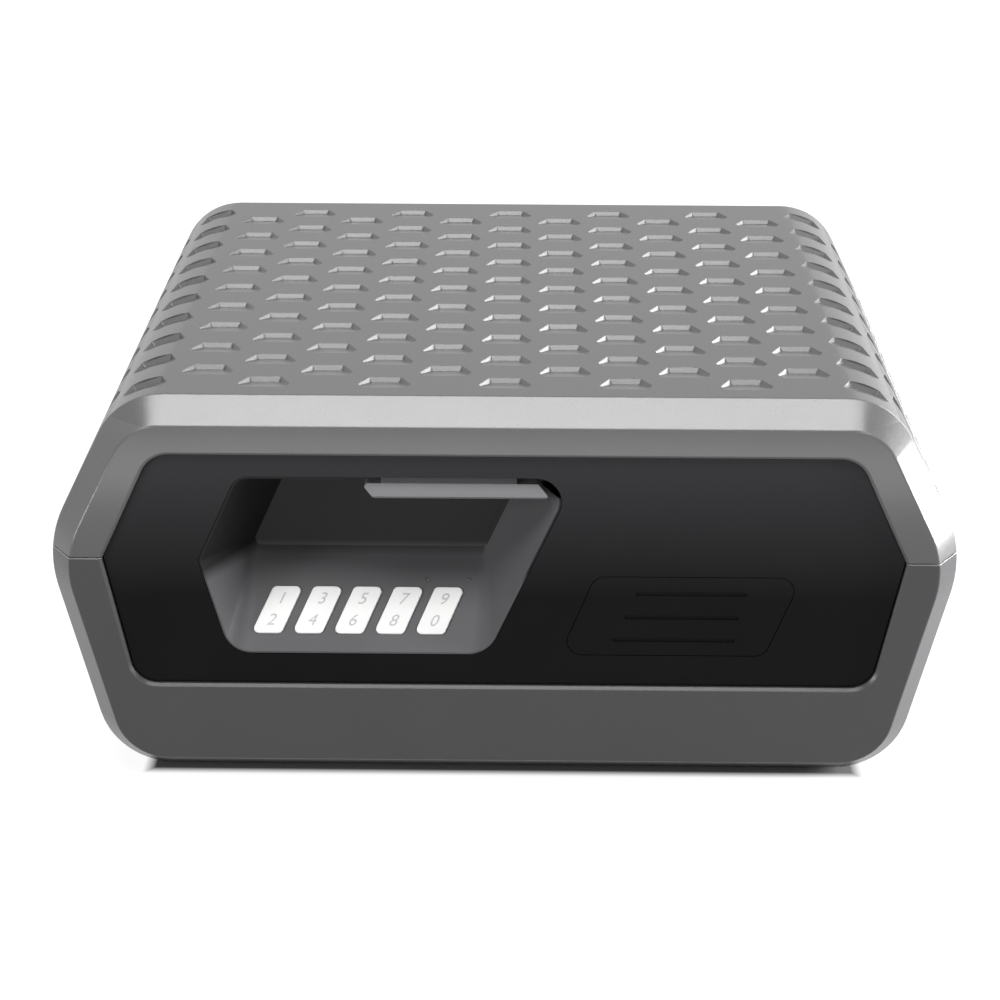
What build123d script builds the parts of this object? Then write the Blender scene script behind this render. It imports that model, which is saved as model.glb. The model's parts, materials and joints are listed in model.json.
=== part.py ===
"""A portable fire chest with an electronic lock, in millimetres.

The chest stands on its feet with its front towards -Y, and its lid is hinged at the rear.
The origin is below the middle of the chest, on the surface that it stands on.
Depths are measured rearward from the flat front face, heights upward from the underside of the base.
"""
import os
from math import atan, atan2, cos, degrees, radians, sin

from build123d import *

# Outer form: a six-sided outline with rounded corners that runs straight from front to rear
BODY_WIDTH = 433.0
BODY_HEIGHT = 193.0
BODY_DEPTH = 366.0
PARTING_HEIGHT = 116.0
UPPER_LEAN = 0.50
LOWER_LEAN = 0.25
TOP_RADIUS = 35.0
SIDE_RADIUS = 60.0
BOTTOM_RADIUS = 36.0
BEVEL_INSET = 10.4
BEVEL_DEPTH = 15.7
BEVEL_ROUND = 1.2
RIM_REACH = 0.01
REAR_ROUND = 6.0
LID_SKIN = 4.5
BASE_SKIN = 4.0
PARTING_GAP = 0.6
SEAT_GAP = 0.3

# Feet
FOOT_STANDOFF = 2.0
FOOT_SEAT = 1.5
FOOT_RADIUS = 9.0
FOOT_X = 140.0
FOOT_FRONT = 42.0
FOOT_REAR_INSET = 44.0
FOOT_REAR = BODY_DEPTH - FOOT_REAR_INSET

# Hinges at the rear
HINGE_SETBACK = 1.5
HINGE_CENTRE = 110.0
HINGE_WIDTH = 60.0
KNUCKLE_RADIUS = 3.5
LID_KNUCKLE = 23.0
KNUCKLE_GAP = 0.25
KNUCKLE_CLEARANCE = 0.5
PIN_RADIUS = 1.5
RUNNING_CLEARANCE = 0.05
LEAF_THICKNESS = 1.6
LEAF_HEIGHT = 26.0
LEAF_NECK = 4.5
RIVET_RADIUS = 1.6
RIVET_HEAD_RADIUS = 3.0
RIVET_HEAD = 1.0
RIVET_HEIGHT = 17.0
RIVET_PITCH = 21.0

# Grip pockets in the lid
POCKET_DEPTH = 2.4
POCKET_DRAFT = 38.0
POCKET_REAR_HALF = 7.5
POCKET_WIDE_HALF = 12.5
POCKET_WIDE_RUN = 10.0
POCKET_FRONT_HALF = 10.0
POCKET_RUN = 15.0
POCKET_COLUMN_PITCH = 28.6
POCKET_ROW_PITCH = 33.7
POCKET_FIRST_ROW = 41.9
POCKET_STAGGER = 17.5
POCKET_ROWS = 10
POCKET_COLUMNS_EACH_SIDE = 8
POCKET_CORNER_SINK = 1.0

# Front panel
PANEL_SIDE_BORDER = 26.7
PANEL_HALF_WIDTH = BODY_WIDTH / 2 - PANEL_SIDE_BORDER
PANEL_UPPER_LEAN = 0.47
PANEL_LOWER_LEAN = 0.205
PANEL_LOW = 51.0
PANEL_TOP_BORDER = 25.2
PANEL_HIGH = BODY_HEIGHT - PANEL_TOP_BORDER
PANEL_SETBACK = 2.5
PANEL_THICKNESS = 3.0
PANEL_TOP_RADIUS = 14.0
PANEL_SIDE_RADIUS = 4.0
PANEL_BOTTOM_RADIUS = 12.0
PANEL_CLEARANCE = 0.3
PANEL_SEAM = 0.2
POCKET_WALL_CLEARANCE = 0.8
FRAME_LIP = 1.4
PANEL_LEDGE = 3.0
SCREW_RADIUS = 1.5
SCREW_HEAD_RADIUS = 2.8
SCREW_HEAD = 1.8
SCREW_SOCKET = 1.4
SCREW_LENGTH = 6.0
SCREW_GRIP = 2.2

# Keypad recess: a tapering bowl between an outline in the panel and a smaller one at its back
BOWL_SETBACK = 3.0
BOWL_DEPTH = 42.0
BOWL_WALL = 2.4
BOWL_RIM = 1.0
BOWL_FLANGE = 5.0
BOWL_FLANGE_THICKNESS = 2.5
BOWL_LEAN = 0.455
BOWL_LEFT_LEAN = 0.28
BOWL_MOUTH_LOW = 66.8
BOWL_TOP_MARGIN = 12.1
BOWL_MOUTH_HIGH = PANEL_HIGH - BOWL_TOP_MARGIN
BOWL_MOUTH_LEFT = -144.0
BOWL_MOUTH_VERTEX = 114.0
BOWL_MOUTH_RIGHT = -8.4
BOWL_BACK_LOW = 106.0
BOWL_ROOF_DROP = 5.7
BOWL_BACK_HIGH = BOWL_MOUTH_HIGH - BOWL_ROOF_DROP
BOWL_BACK_LEFT = -122.0
BOWL_BACK_VERTEX = 110.0
BOWL_BACK_RIGHT = -8.9
BOWL_MOUTH_RADII = (13.0, 14.0, 11.0, 8.0, 4.0)
BOWL_BACK_RADII = (2.4, 4.0, 4.0, 4.0, 2.0)

# Keys on the sloping floor of the recess
KEY_COUNT = 5
KEY_PITCH = 19.65
KEY_FIRST = -121.8
KEY_LOW = 9.0
KEY_LENGTH = 24.4
KEY_WIDTH = 14.6
KEY_LEAN = 0.40
KEY_RADIUS = 2.6
KEY_PROUD = 0.9
KEY_EDGE = 0.4
KEY_CLEARANCE = 0.35
KEY_FLANGE = 1.2
KEY_FLANGE_THICKNESS = 1.2
KEY_FLANGE_GAP = 0.15
KEY_TRAVEL = 0.8
MAT_THICKNESS = 1.5
MAT_MARGIN = 2.0
BOARD_THICKNESS = 1.6
BOARD_LEFT = -130.0
BOARD_RIGHT = -9.5
BOARD_LOW = 1.5
BOARD_HIGH = 50.0
PLATE_INSET = 2.2
BOSS_RADIUS = 2.6
BOSS_SIDE_INSET = 3.6
BOSS_END_INSET = 4.0
BOARD_SCREW_RADIUS = 1.0
BOARD_SCREW_HEAD_RADIUS = 2.2
BOARD_SCREW_HEAD = 1.4
BOARD_SCREW_GRIP = 3.0
LIGHT_RADIUS = 1.0
LIGHT_CLEARANCE = 0.1
LIGHT_PROUD = 0.15
LIGHT_PLACES = ((-37.4, 37.6), (-17.1, 37.6))

# Lock housing that hangs behind the panel
HOUSING_INSET = 3.5
HOUSING_WALL = 2.5
HOUSING_DEPTH = 52.0
HOUSING_TOP = BOWL_BACK_HIGH
EAR_REACH = 10.0
EAR_THICKNESS = 2.5
EAR_RISE = 4.5
EAR_TOP_DROP = 3.0
EAR_LOW = PARTING_HEIGHT + EAR_RISE
EAR_HIGH = HOUSING_TOP - EAR_TOP_DROP
EAR_SCREW_OUT = 4.5
EAR_SCREW_LOW_MARGIN = 6.5
EAR_SCREW_TOP_MARGIN = 7.0
EAR_SCREW_HEIGHTS = (EAR_LOW + EAR_SCREW_LOW_MARGIN, EAR_HIGH - EAR_SCREW_TOP_MARGIN)
EAR_SCREW_GRIP = 6.0
POST_RADIUS = 4.5
POST_INSETS = ((24.8, 68.0), (21.8, 130.0))
POST_PLACES = [(side * (PANEL_HALF_WIDTH - inset), height) for side in (-1, 1) for inset, height in POST_INSETS]
LOCK_POCKET_DEPTH = 58.0

# Latch: a shaft across the lid that carries the lever and two hooks
SHAFT_DEPTH = 12.0
SHAFT_RISE = 3.3
SHAFT_HEIGHT = BOWL_MOUTH_HIGH + SHAFT_RISE
SHAFT_RADIUS = 3.0
HUB_RADIUS = 5.0
HUB_FLANK = 3.5
FIXED_CLEARANCE = 0.02
LEVER_LEFT = -67.3
LEVER_RIGHT = 16.0
LEVER_LEAN = 0.85
LEVER_HANG = 5.9
LEVER_HEIGHT = 7.2
LEVER_TOP = SHAFT_HEIGHT - LEVER_HANG
LEVER_BOTTOM = LEVER_TOP - LEVER_HEIGHT
LEVER_FACE_TOP = 5.0
LEVER_FACE_LOW = 3.0
LEVER_HUB_LEFT = -58.0
LEVER_HUB_RIGHT = 6.0
LEVER_CORNER = 1.5
LEVER_NOSE = 1.2
LEVER_GRIP = 3.4
LEVER_SLOT_LEFT = -76.0
LEVER_SLOT_RIGHT = 33.0
LEVER_OVERLAP = 0.8
LEVER_SLOT_LOW = LEVER_BOTTOM + LEVER_OVERLAP
LEVER_SLOT_REAR = 24.0
SPRING_LENGTH = 10.0
HOOK_OUTSIDE_BOWL = 8.0
HOOK_X = HOOK_OUTSIDE_BOWL - BOWL_MOUTH_LEFT
SHAFT_END = 6.0
SHAFT_HALF_LENGTH = HOOK_X + SHAFT_END
HOOK_THICKNESS = 3.0
HOOK_TIP_DEPTH = 53.0
HOOK_TOP = 100.0
HOOK_BOTTOM = 93.0
HOOK_SHANK = 10.0
HOOK_BARB = 4.0
HOOK_SLOT_HALF = 4.0
HOOK_SLOT_LOW = 88.0
HOOK_SLOT_HIGH = 116.0
KEEPER_WIDTH = 26.0
KEEPER_LOW = 103.5
KEEPER_HIGH = 113.5
KEEPER_FRONT = 53.8
KEEPER_LIP = 2.0
KEEPER_PLATE = 1.4
KEEPER_SCREW_X = 8.5
KEEPER_SCREW_HEAD = 1.4
BRACKET_INSIDE_HOOK = 8.0
BRACKET_PLACES = (BRACKET_INSIDE_HOOK - HOOK_X, 49.0, HOOK_X - BRACKET_INSIDE_HOOK)
BRACKET_THICKNESS = 3.0
BRACKET_FOOT_WIDTH = 18.0
BRACKET_FOOT_THICKNESS = 2.0
BRACKET_SCREW_X = 5.2
BRACKET_SCREW_RISE = 17.0
BRACKET_SCREW_HEIGHT = SHAFT_HEIGHT + BRACKET_SCREW_RISE
BRACKET_REACH = 14.0
BRACKET_MARGIN = 5.0

# Solenoid that blocks the latch
BLOCKER_X = 40.0
BLOCKER_THICKNESS = 4.0
BLOCKER_WIDTH = 5.0
BLOCKER_LENGTH = 34.0
BLOCKER_LEAD = 14.0
PLUNGER_DEPTH = 34.0
PLUNGER_DROP = 21.0
PLUNGER_HEIGHT = SHAFT_HEIGHT - PLUNGER_DROP
PLUNGER_RADIUS = 2.5
PLUNGER_LENGTH = 23.0
PLUNGER_OVERLAP = 1.0
SOLENOID_LEFT = 50.0
SOLENOID_LENGTH = 26.0
SOLENOID_SIDE = 17.0
SOLENOID_BORE = 22.0
SOLENOID_SCREW_X = 8.0

# Battery compartment
COVER_LOW = 66.5
COVER_HIGH = 107.0
COVER_LEFT = 27.3
COVER_RIGHT = 125.0
COVER_LEAN = 0.40
COVER_RADIUS = 7.0
COVER_THICKNESS = 1.6
COVER_GAP = 0.4
COVER_SEAT = 0.1
COVER_LEDGE = 3.0
COVER_RIM = 1.2
COVER_RIM_WIDTH = 1.6
GROOVE_HEIGHTS = (98.5, 86.3, 74.5)
GROOVE_LEFTS = (62.6, 57.6, 52.0)
GROOVE_LENGTHS = (53.4, 54.6, 58.8)
GROOVE_WIDTH = 2.3
GROOVE_DEPTH = 0.9
CELL_RADIUS = 7.25
CELL_LENGTH = 49.5
CELL_TIP_RADIUS = 2.75
CELL_TIP = 1.0
CELL_PITCH = 15.5
TRAY_CENTRE_X = 84.0
TRAY_CENTRE_HEIGHT = 87.5
TRAY_LENGTH = 57.0
TRAY_INSIDE = 31.6
TRAY_WALL = 2.0
TRAY_FLANGE = 4.0
CONTACT_THICKNESS = 0.5
CONTACT_SIDE = 11.0
CONTACT_COIL_RADIUS = 3.0

# Inside of the chest
ROOM_SIDE_WALL = 66.5
ROOM_HALF_WIDTH = BODY_WIDTH / 2 - ROOM_SIDE_WALL
ROOM_FRONT = 88.0
ROOM_REAR_WALL = 36.0
ROOM_REAR = BODY_DEPTH - ROOM_REAR_WALL
ROOM_FLOOR = 34.0
ROOM_TOP_WALL = 33.0
ROOM_ROOF = BODY_HEIGHT - ROOM_TOP_WALL
ROOM_RADIUS = 14.0
LINER = 2.5
COMPARTMENT_REAR = 60.0
SEAL_OFFSET = 14.0
SEAL_WIDTH = 6.0
SEAL_SEAT = 1.5
SEAL_CLEARANCE = 0.02

OVERALL_DEPTH = BODY_DEPTH + HINGE_SETBACK + KNUCKLE_RADIUS
FRONT_Y = -OVERALL_DEPTH / 2
HINGE_DEPTH = BODY_DEPTH + HINGE_SETBACK
PANEL_BACK = PANEL_SETBACK + PANEL_THICKNESS
LID_LOW = PARTING_HEIGHT + PARTING_GAP / 2
BASE_HIGH = PARTING_HEIGHT - PARTING_GAP / 2

os.makedirs("parts", exist_ok=True)


# Places in the chest

def y_at(depth):
    return FRONT_Y + depth


def z_at(height):
    return FOOT_STANDOFF + height


def facing(depth):
    """A plane across the chest that faces the front: its x is X, its y is the height."""
    return Plane(origin=(0, y_at(depth), z_at(0)), x_dir=(1, 0, 0), z_dir=(0, -1, 0))


def level(height):
    """A level plane at a height above the underside of the base."""
    return Plane.XY.offset(z_at(height))


def beside(x):
    """An upright plane along the chest that faces +X: its x is Y, its y is Z."""
    return Plane(origin=(x, 0, 0), x_dir=(0, 1, 0), z_dir=(1, 0, 0))


def side_point(depth, height):
    return (y_at(depth), z_at(height))


def write(piece, name):
    piece.part.label = name
    export_step(piece.part, f"parts/{name}.step")


# Outlines

def grown(corners, amount):
    """Corners of a convex outline, listed anticlockwise, with each side moved outward by an amount."""
    moved = []
    for index, corner in enumerate(corners):
        here = Vector(*corner)
        into = (here - Vector(*corners[index - 1])).normalized()
        away = (Vector(*corners[(index + 1) % len(corners)]) - here).normalized()
        first = Vector(into.Y, -into.X)
        second = Vector(away.Y, -away.X)
        corner_shift = (first + second) * (amount / (1 + first.dot(second)))
        moved.append((here.X + corner_shift.X, here.Y + corner_shift.Y))
    return moved


def rounded(corners, radii, mode=Mode.ADD):
    """A face with its own radius at each corner."""
    with BuildLine() as line:
        FilletPolyline(*corners, radius=list(radii), close=True)
    make_face(line.edges(), mode=mode)


def grown_radii(radii, amount):
    return [max(radius + amount, 1.0) for radius in radii]


def mirrored_corners(low, low_half, middle, middle_half, high, high_half):
    """Six corners of an outline that is the same left and right, from the lower left."""
    right = [(low_half, low), (middle_half, middle), (high_half, high)]
    left = [(-x, height) for x, height in reversed(right)]
    return left[-1:] + right + left[:-1]


upper_angle = atan(UPPER_LEAN)
lower_angle = atan(LOWER_LEAN)
side_rounding = SIDE_RADIUS * ((sin(upper_angle) + sin(lower_angle)) / sin(upper_angle + lower_angle) - 1)
side_half = BODY_WIDTH / 2 + side_rounding
bottom_half = side_half - LOWER_LEAN * PARTING_HEIGHT
top_half = side_half - UPPER_LEAN * (BODY_HEIGHT - PARTING_HEIGHT)
CHEST_CORNERS = mirrored_corners(0, bottom_half, PARTING_HEIGHT, side_half, BODY_HEIGHT, top_half)
CHEST_RADII = (BOTTOM_RADIUS, BOTTOM_RADIUS, SIDE_RADIUS, TOP_RADIUS, TOP_RADIUS, SIDE_RADIUS)

panel_low_half = PANEL_HALF_WIDTH - PANEL_LOWER_LEAN * (PARTING_HEIGHT - PANEL_LOW)
panel_high_half = PANEL_HALF_WIDTH - PANEL_UPPER_LEAN * (PANEL_HIGH - PARTING_HEIGHT)
PANEL_CORNERS = mirrored_corners(
    PANEL_LOW, panel_low_half, PARTING_HEIGHT, PANEL_HALF_WIDTH, PANEL_HIGH, panel_high_half
)
PANEL_RADII = (
    PANEL_BOTTOM_RADIUS, PANEL_BOTTOM_RADIUS, PANEL_SIDE_RADIUS,
    PANEL_TOP_RADIUS, PANEL_TOP_RADIUS, PANEL_SIDE_RADIUS,
)


def chest_outline(inset):
    rounded(grown(CHEST_CORNERS, -inset), grown_radii(CHEST_RADII, -inset))


def panel_outline(growth):
    rounded(grown(PANEL_CORNERS, growth), grown_radii(PANEL_RADII, growth))


def bowl_corners(low, high, left, vertex, right):
    """Corners of the recess from the lower left: two short left sides and a leaning right side."""
    low_left = left + BOWL_LEFT_LEAN * (vertex - low)
    high_left = left + BOWL_LEAN * (high - vertex)
    high_right = right + BOWL_LEAN * (high - low)
    return [(low_left, low), (right, low), (high_right, high), (high_left, high), (left, vertex)]


BOWL_MOUTH = bowl_corners(
    BOWL_MOUTH_LOW, BOWL_MOUTH_HIGH, BOWL_MOUTH_LEFT, BOWL_MOUTH_VERTEX, BOWL_MOUTH_RIGHT
)
BOWL_BACK = bowl_corners(BOWL_BACK_LOW, BOWL_BACK_HIGH, BOWL_BACK_LEFT, BOWL_BACK_VERTEX, BOWL_BACK_RIGHT)


def bowl_form(rim, wall):
    """The tapering space of the recess, or its outer form when it is grown by its rim and its wall."""
    with BuildPart() as form:
        with BuildSketch(facing(BOWL_SETBACK)):
            rounded(grown(BOWL_MOUTH, rim), grown_radii(BOWL_MOUTH_RADII, rim))
        with BuildSketch(facing(BOWL_DEPTH + wall)):
            rounded(grown(BOWL_BACK, wall), grown_radii(BOWL_BACK_RADII, wall))
        loft(ruled=True)
    return form.part


def leaning_corners(left, right, low, high, lean):
    """Corners of a parallelogram whose top is shifted to the right."""
    shift = lean * (high - low)
    return [(left, low), (right, low), (right + shift, high), (left + shift, high)]


COVER_CORNERS = leaning_corners(COVER_LEFT, COVER_RIGHT, COVER_LOW, COVER_HIGH, COVER_LEAN)


def cover_outline(growth):
    rounded(grown(COVER_CORNERS, growth), grown_radii([COVER_RADIUS] * 4, growth))


# Outer form of the closed chest, parted afterwards

def chest_blank():
    with BuildPart() as blank:
        with BuildSketch(facing(0)):
            chest_outline(BEVEL_INSET)
        with BuildSketch(facing(BEVEL_DEPTH)):
            chest_outline(0)
        loft(ruled=True)
        with BuildSketch(facing(BEVEL_DEPTH)):
            chest_outline(0)
        extrude(amount=-(BODY_DEPTH - BEVEL_DEPTH))
        fillet(blank.faces().sort_by(Axis.Y)[-1].edges(), REAR_ROUND)
        for depth in (0, BEVEL_DEPTH):
            rim = blank.edges().filter_by_position(Axis.Y, y_at(depth) - RIM_REACH, y_at(depth) + RIM_REACH)
            fillet(rim, BEVEL_ROUND)
    return blank.part


def hinge_room(side):
    """What both shells leave free at the rear for the hinges: barrel and flush leaf, above or below."""
    leaf_middle = side * LEAF_HEIGHT / 2
    with BuildPart() as room:
        for centre in (-HINGE_CENTRE, HINGE_CENTRE):
            with BuildSketch(beside(centre - HINGE_WIDTH / 2 - KNUCKLE_CLEARANCE)):
                with Locations(side_point(HINGE_DEPTH, PARTING_HEIGHT)):
                    Circle(KNUCKLE_RADIUS + KNUCKLE_CLEARANCE)
            extrude(amount=HINGE_WIDTH + 2 * KNUCKLE_CLEARANCE)
            with BuildSketch(facing(BODY_DEPTH - LEAF_THICKNESS)):
                with Locations((centre, PARTING_HEIGHT + leaf_middle)):
                    Rectangle(HINGE_WIDTH + 2 * KNUCKLE_CLEARANCE, LEAF_HEIGHT + 2 * KNUCKLE_CLEARANCE)
            extrude(amount=-2 * LEAF_THICKNESS)
            with BuildSketch(facing(BODY_DEPTH - BASE_SKIN - RIVET_HEAD)):
                with Locations(*rivet_places(centre, side)):
                    Circle(RIVET_RADIUS)
            extrude(amount=-BASE_SKIN)
    return room.part


def rivet_places(centre, side):
    """Three rivets in a row across a hinge leaf, above the parting for side 1 and below it for -1."""
    height = PARTING_HEIGHT + side * RIVET_HEIGHT
    return [(centre + step * RIVET_PITCH, height) for step in (-1, 0, 1)]


# Lid shell with its grip pockets

def pocket_tool():
    """One pocket at the origin in a level top, with its straight rear wall on the x axis and its front at -y."""
    plan = [
        (-POCKET_REAR_HALF, 0), (-POCKET_WIDE_HALF, -POCKET_WIDE_RUN), (-POCKET_FRONT_HALF, -POCKET_RUN),
        (POCKET_FRONT_HALF, -POCKET_RUN), (POCKET_WIDE_HALF, -POCKET_WIDE_RUN), (POCKET_REAR_HALF, 0),
    ]
    floor_angle = degrees(atan2(POCKET_DEPTH, POCKET_RUN))
    floor = Plane(origin=(0, -POCKET_RUN, 0), z_dir=(0, sin(radians(floor_angle)), cos(radians(floor_angle))))
    with BuildPart() as tool:
        with BuildSketch(Plane.XY):
            Polygon(*plan, align=None)
        extrude(amount=-POCKET_DEPTH, taper=POCKET_DRAFT)
        split(bisect_by=floor, keep=Keep.TOP)
        with BuildSketch(Plane.XY):
            Polygon(*plan, align=None)
        extrude(amount=POCKET_DEPTH)
    return tool.part


def pocket_column(column):
    """Place and tilt of a pocket column, found by its distance along the outline from the middle of the lid."""
    distance = abs(column) * POCKET_COLUMN_PITCH
    side = 1 if column >= 0 else -1
    turn = radians(90) - upper_angle
    corner_start = top_half - TOP_RADIUS * (sin(turn) / (1 + cos(turn)))
    corner_length = TOP_RADIUS * turn
    if distance <= corner_start:
        return side * distance, BODY_HEIGHT, 0.0, 0.0
    angle = min((distance - corner_start) / TOP_RADIUS, turn)
    along_side = max(distance - corner_start - corner_length, 0)
    across = corner_start + TOP_RADIUS * sin(angle) + along_side * cos(turn)
    height = BODY_HEIGHT - TOP_RADIUS * (1 - cos(angle)) - along_side * sin(turn)
    near_corner = along_side < POCKET_REAR_HALF
    return side * across, height, side * degrees(angle), POCKET_CORNER_SINK if near_corner else 0.0


def pocket_places():
    places = []
    for column in range(-POCKET_COLUMNS_EACH_SIDE, POCKET_COLUMNS_EACH_SIDE + 1):
        across, height, tilt, sink = pocket_column(column)
        staggered = column % 2
        for row in range(POCKET_ROWS - staggered):
            depth = POCKET_FIRST_ROW + POCKET_ROW_PITCH * row + POCKET_STAGGER * staggered
            surface = Location((across, y_at(depth), z_at(height)), (0, tilt, 0))
            places.append(surface * Location((0, 0, -sink)))
    return places


def lid_inside():
    """The hollow of the lid shell behind its thick front."""
    with BuildPart() as inside:
        with BuildSketch(facing(BEVEL_DEPTH)):
            chest_outline(LID_SKIN)
        extrude(amount=-(BODY_DEPTH - BEVEL_DEPTH - BASE_SKIN))
    return inside.part


def panel_side(height):
    """Half the width of the panel at a height."""
    if height > PARTING_HEIGHT:
        return PANEL_HALF_WIDTH - PANEL_UPPER_LEAN * (height - PARTING_HEIGHT)
    return PANEL_HALF_WIDTH - PANEL_LOWER_LEAN * (PARTING_HEIGHT - height)


ear_screw_places = [
    (side * (panel_side(height) + EAR_SCREW_OUT), height) for side in (-1, 1) for height in EAR_SCREW_HEIGHTS
]
bracket_screw_places = [
    (place + step * BRACKET_SCREW_X, BRACKET_SCREW_HEIGHT) for place in BRACKET_PLACES for step in (-1, 1)
]
blank = chest_blank()
pocket = pocket_tool()
lid_hollow = lid_inside()
lid_hinge_room = hinge_room(1)

with BuildPart() as lid_shell:
    add(blank)
    split(bisect_by=level(LID_LOW), keep=Keep.TOP)
    add(lid_hollow, mode=Mode.SUBTRACT)
    with BuildSketch(facing(0)):
        panel_outline(PANEL_CLEARANCE + FRAME_LIP)
    with BuildSketch(facing(FRAME_LIP)):
        panel_outline(PANEL_CLEARANCE)
    loft(ruled=True, mode=Mode.SUBTRACT)
    with BuildSketch(facing(0)):
        panel_outline(PANEL_CLEARANCE)
    extrude(amount=-PANEL_BACK, mode=Mode.SUBTRACT)
    with BuildSketch(facing(0)):
        panel_outline(-PANEL_LEDGE)
    extrude(amount=-BEVEL_DEPTH, mode=Mode.SUBTRACT)
    with BuildSketch(facing(BEVEL_DEPTH)):
        with Locations(*ear_screw_places, *bracket_screw_places):
            Circle(SCREW_RADIUS)
    extrude(amount=EAR_SCREW_GRIP, mode=Mode.SUBTRACT)
    add(lid_hinge_room, mode=Mode.SUBTRACT)
    with Locations(*pocket_places()):
        add(pocket, mode=Mode.SUBTRACT)
write(lid_shell, "lid_shell")


# Lid liner, insulation and seal

def slab(piece_depth_low, piece_depth_high, inset, low, high):
    """A slice of the chest between two depths and two heights, set in from its outer form."""
    with BuildPart() as piece:
        with BuildSketch(facing(piece_depth_low)):
            chest_outline(inset)
        extrude(amount=-(piece_depth_high - piece_depth_low))
        split(bisect_by=level(low), keep=Keep.TOP)
        split(bisect_by=level(high), keep=Keep.BOTTOM)
    return piece.part


def room_form(growth, low, high):
    """The room inside the chest, or its outer form when it is grown by the liner."""
    with BuildPart() as form:
        with BuildSketch(level(low)):
            with Locations((0, y_at((ROOM_FRONT + ROOM_REAR) / 2))):
                RectangleRounded(
                    2 * (ROOM_HALF_WIDTH + growth), ROOM_REAR - ROOM_FRONT + 2 * growth, ROOM_RADIUS + growth
                )
        extrude(amount=high - low)
    return form.part


liner_rear = BODY_DEPTH - BASE_SKIN - SEAT_GAP
lid_liner_high = LID_LOW + LINER
lid_flange = slab(BEVEL_DEPTH + SEAT_GAP, liner_rear, LID_SKIN + SEAT_GAP, LID_LOW, lid_liner_high)
lid_room = room_form(0, LID_LOW, ROOM_ROOF)
lid_dome = room_form(LINER, LID_LOW, ROOM_ROOF + LINER)



def seal_ring(clearance):
    """A flat ring around the room: the seal, or its groove when there is no clearance."""
    half_width = ROOM_HALF_WIDTH + SEAL_OFFSET
    length = ROOM_REAR - ROOM_FRONT + 2 * SEAL_OFFSET
    radius = ROOM_RADIUS + SEAL_OFFSET
    width = SEAL_WIDTH - 2 * clearance
    with BuildPart() as ring:
        with BuildSketch(level(LID_LOW - SEAT_GAP)):
            with Locations((0, y_at((ROOM_FRONT + ROOM_REAR) / 2))):
                RectangleRounded(2 * half_width + width, length + width, radius + width / 2)
                RectangleRounded(
                    2 * half_width - width, length - width, radius - width / 2, mode=Mode.SUBTRACT
                )
        extrude(amount=SEAL_SEAT + SEAT_GAP - clearance)
    return ring.part


with BuildPart() as lid_liner:
    add(lid_flange)
    add(lid_dome)
    add(lid_room, mode=Mode.SUBTRACT)
    with BuildSketch(facing(BEVEL_DEPTH)):
        panel_outline(SEAT_GAP - HOUSING_INSET)
    extrude(amount=-(HOUSING_DEPTH + SEAT_GAP - BEVEL_DEPTH), mode=Mode.SUBTRACT)
    add(seal_ring(0), mode=Mode.SUBTRACT)
write(lid_liner, "lid_liner")

with BuildPart() as lid_seal:
    add(seal_ring(SEAL_CLEARANCE))
write(lid_seal, "lid_seal")

lid_fill = slab(
    COMPARTMENT_REAR, liner_rear, LID_SKIN + SEAT_GAP, lid_liner_high + SEAT_GAP, BODY_HEIGHT - LID_SKIN - SEAT_GAP
)
lid_dome_room = room_form(LINER + SEAT_GAP, LID_LOW, ROOM_ROOF + LINER + SEAT_GAP)

with BuildPart() as lid_insulation:
    add(lid_fill)
    add(lid_dome_room, mode=Mode.SUBTRACT)
write(lid_insulation, "lid_insulation")


# Base shell, liner and insulation

base_fill_front = LOCK_POCKET_DEPTH + BASE_SKIN
base_hinge_room = hinge_room(-1)

with BuildPart() as base_hollow:
    with BuildSketch(facing(base_fill_front)):
        chest_outline(BASE_SKIN)
    extrude(amount=-(BODY_DEPTH - BASE_SKIN - base_fill_front))

foot_places = [(x, y_at(depth)) for x in (-FOOT_X, FOOT_X) for depth in (FOOT_FRONT, FOOT_REAR)]
keeper_screw_places = [
    (side * HOOK_X + step * KEEPER_SCREW_X, (KEEPER_LOW + KEEPER_LIP + KEEPER_HIGH) / 2)
    for side in (-1, 1)
    for step in (-1, 1)
]

with BuildPart() as base_shell:
    add(blank)
    split(bisect_by=level(BASE_HIGH), keep=Keep.BOTTOM)
    add(base_hollow.part, mode=Mode.SUBTRACT)
    with BuildSketch(facing(0)):
        panel_outline(POCKET_WALL_CLEARANCE + FRAME_LIP)
    with BuildSketch(facing(FRAME_LIP)):
        panel_outline(POCKET_WALL_CLEARANCE)
    loft(ruled=True, mode=Mode.SUBTRACT)
    with BuildSketch(facing(0)):
        panel_outline(POCKET_WALL_CLEARANCE)
    extrude(amount=-LOCK_POCKET_DEPTH, mode=Mode.SUBTRACT)
    with BuildSketch(facing(LOCK_POCKET_DEPTH)):
        with Locations(*keeper_screw_places):
            Circle(SCREW_RADIUS)
    extrude(amount=-SCREW_GRIP, mode=Mode.SUBTRACT)
    with BuildSketch(level(0)):
        with Locations(*foot_places):
            Circle(FOOT_RADIUS)
    extrude(amount=FOOT_SEAT, mode=Mode.SUBTRACT)
    add(base_hinge_room, mode=Mode.SUBTRACT)
write(base_shell, "base_shell")

with BuildPart() as feet:
    with BuildSketch(Plane.XY):
        with Locations(*foot_places):
            Circle(FOOT_RADIUS)
    extrude(amount=FOOT_STANDOFF + FOOT_SEAT)
write(feet, "feet")

base_liner_low = BASE_HIGH - LINER
base_fill_front += SEAT_GAP
base_flange = slab(base_fill_front, liner_rear, BASE_SKIN + SEAT_GAP, base_liner_low, BASE_HIGH)
base_room = room_form(0, ROOM_FLOOR, BASE_HIGH)
base_tub = room_form(LINER, ROOM_FLOOR - LINER, BASE_HIGH)

with BuildPart() as base_liner:
    add(base_flange)
    add(base_tub)
    add(base_room, mode=Mode.SUBTRACT)
write(base_liner, "base_liner")

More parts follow.
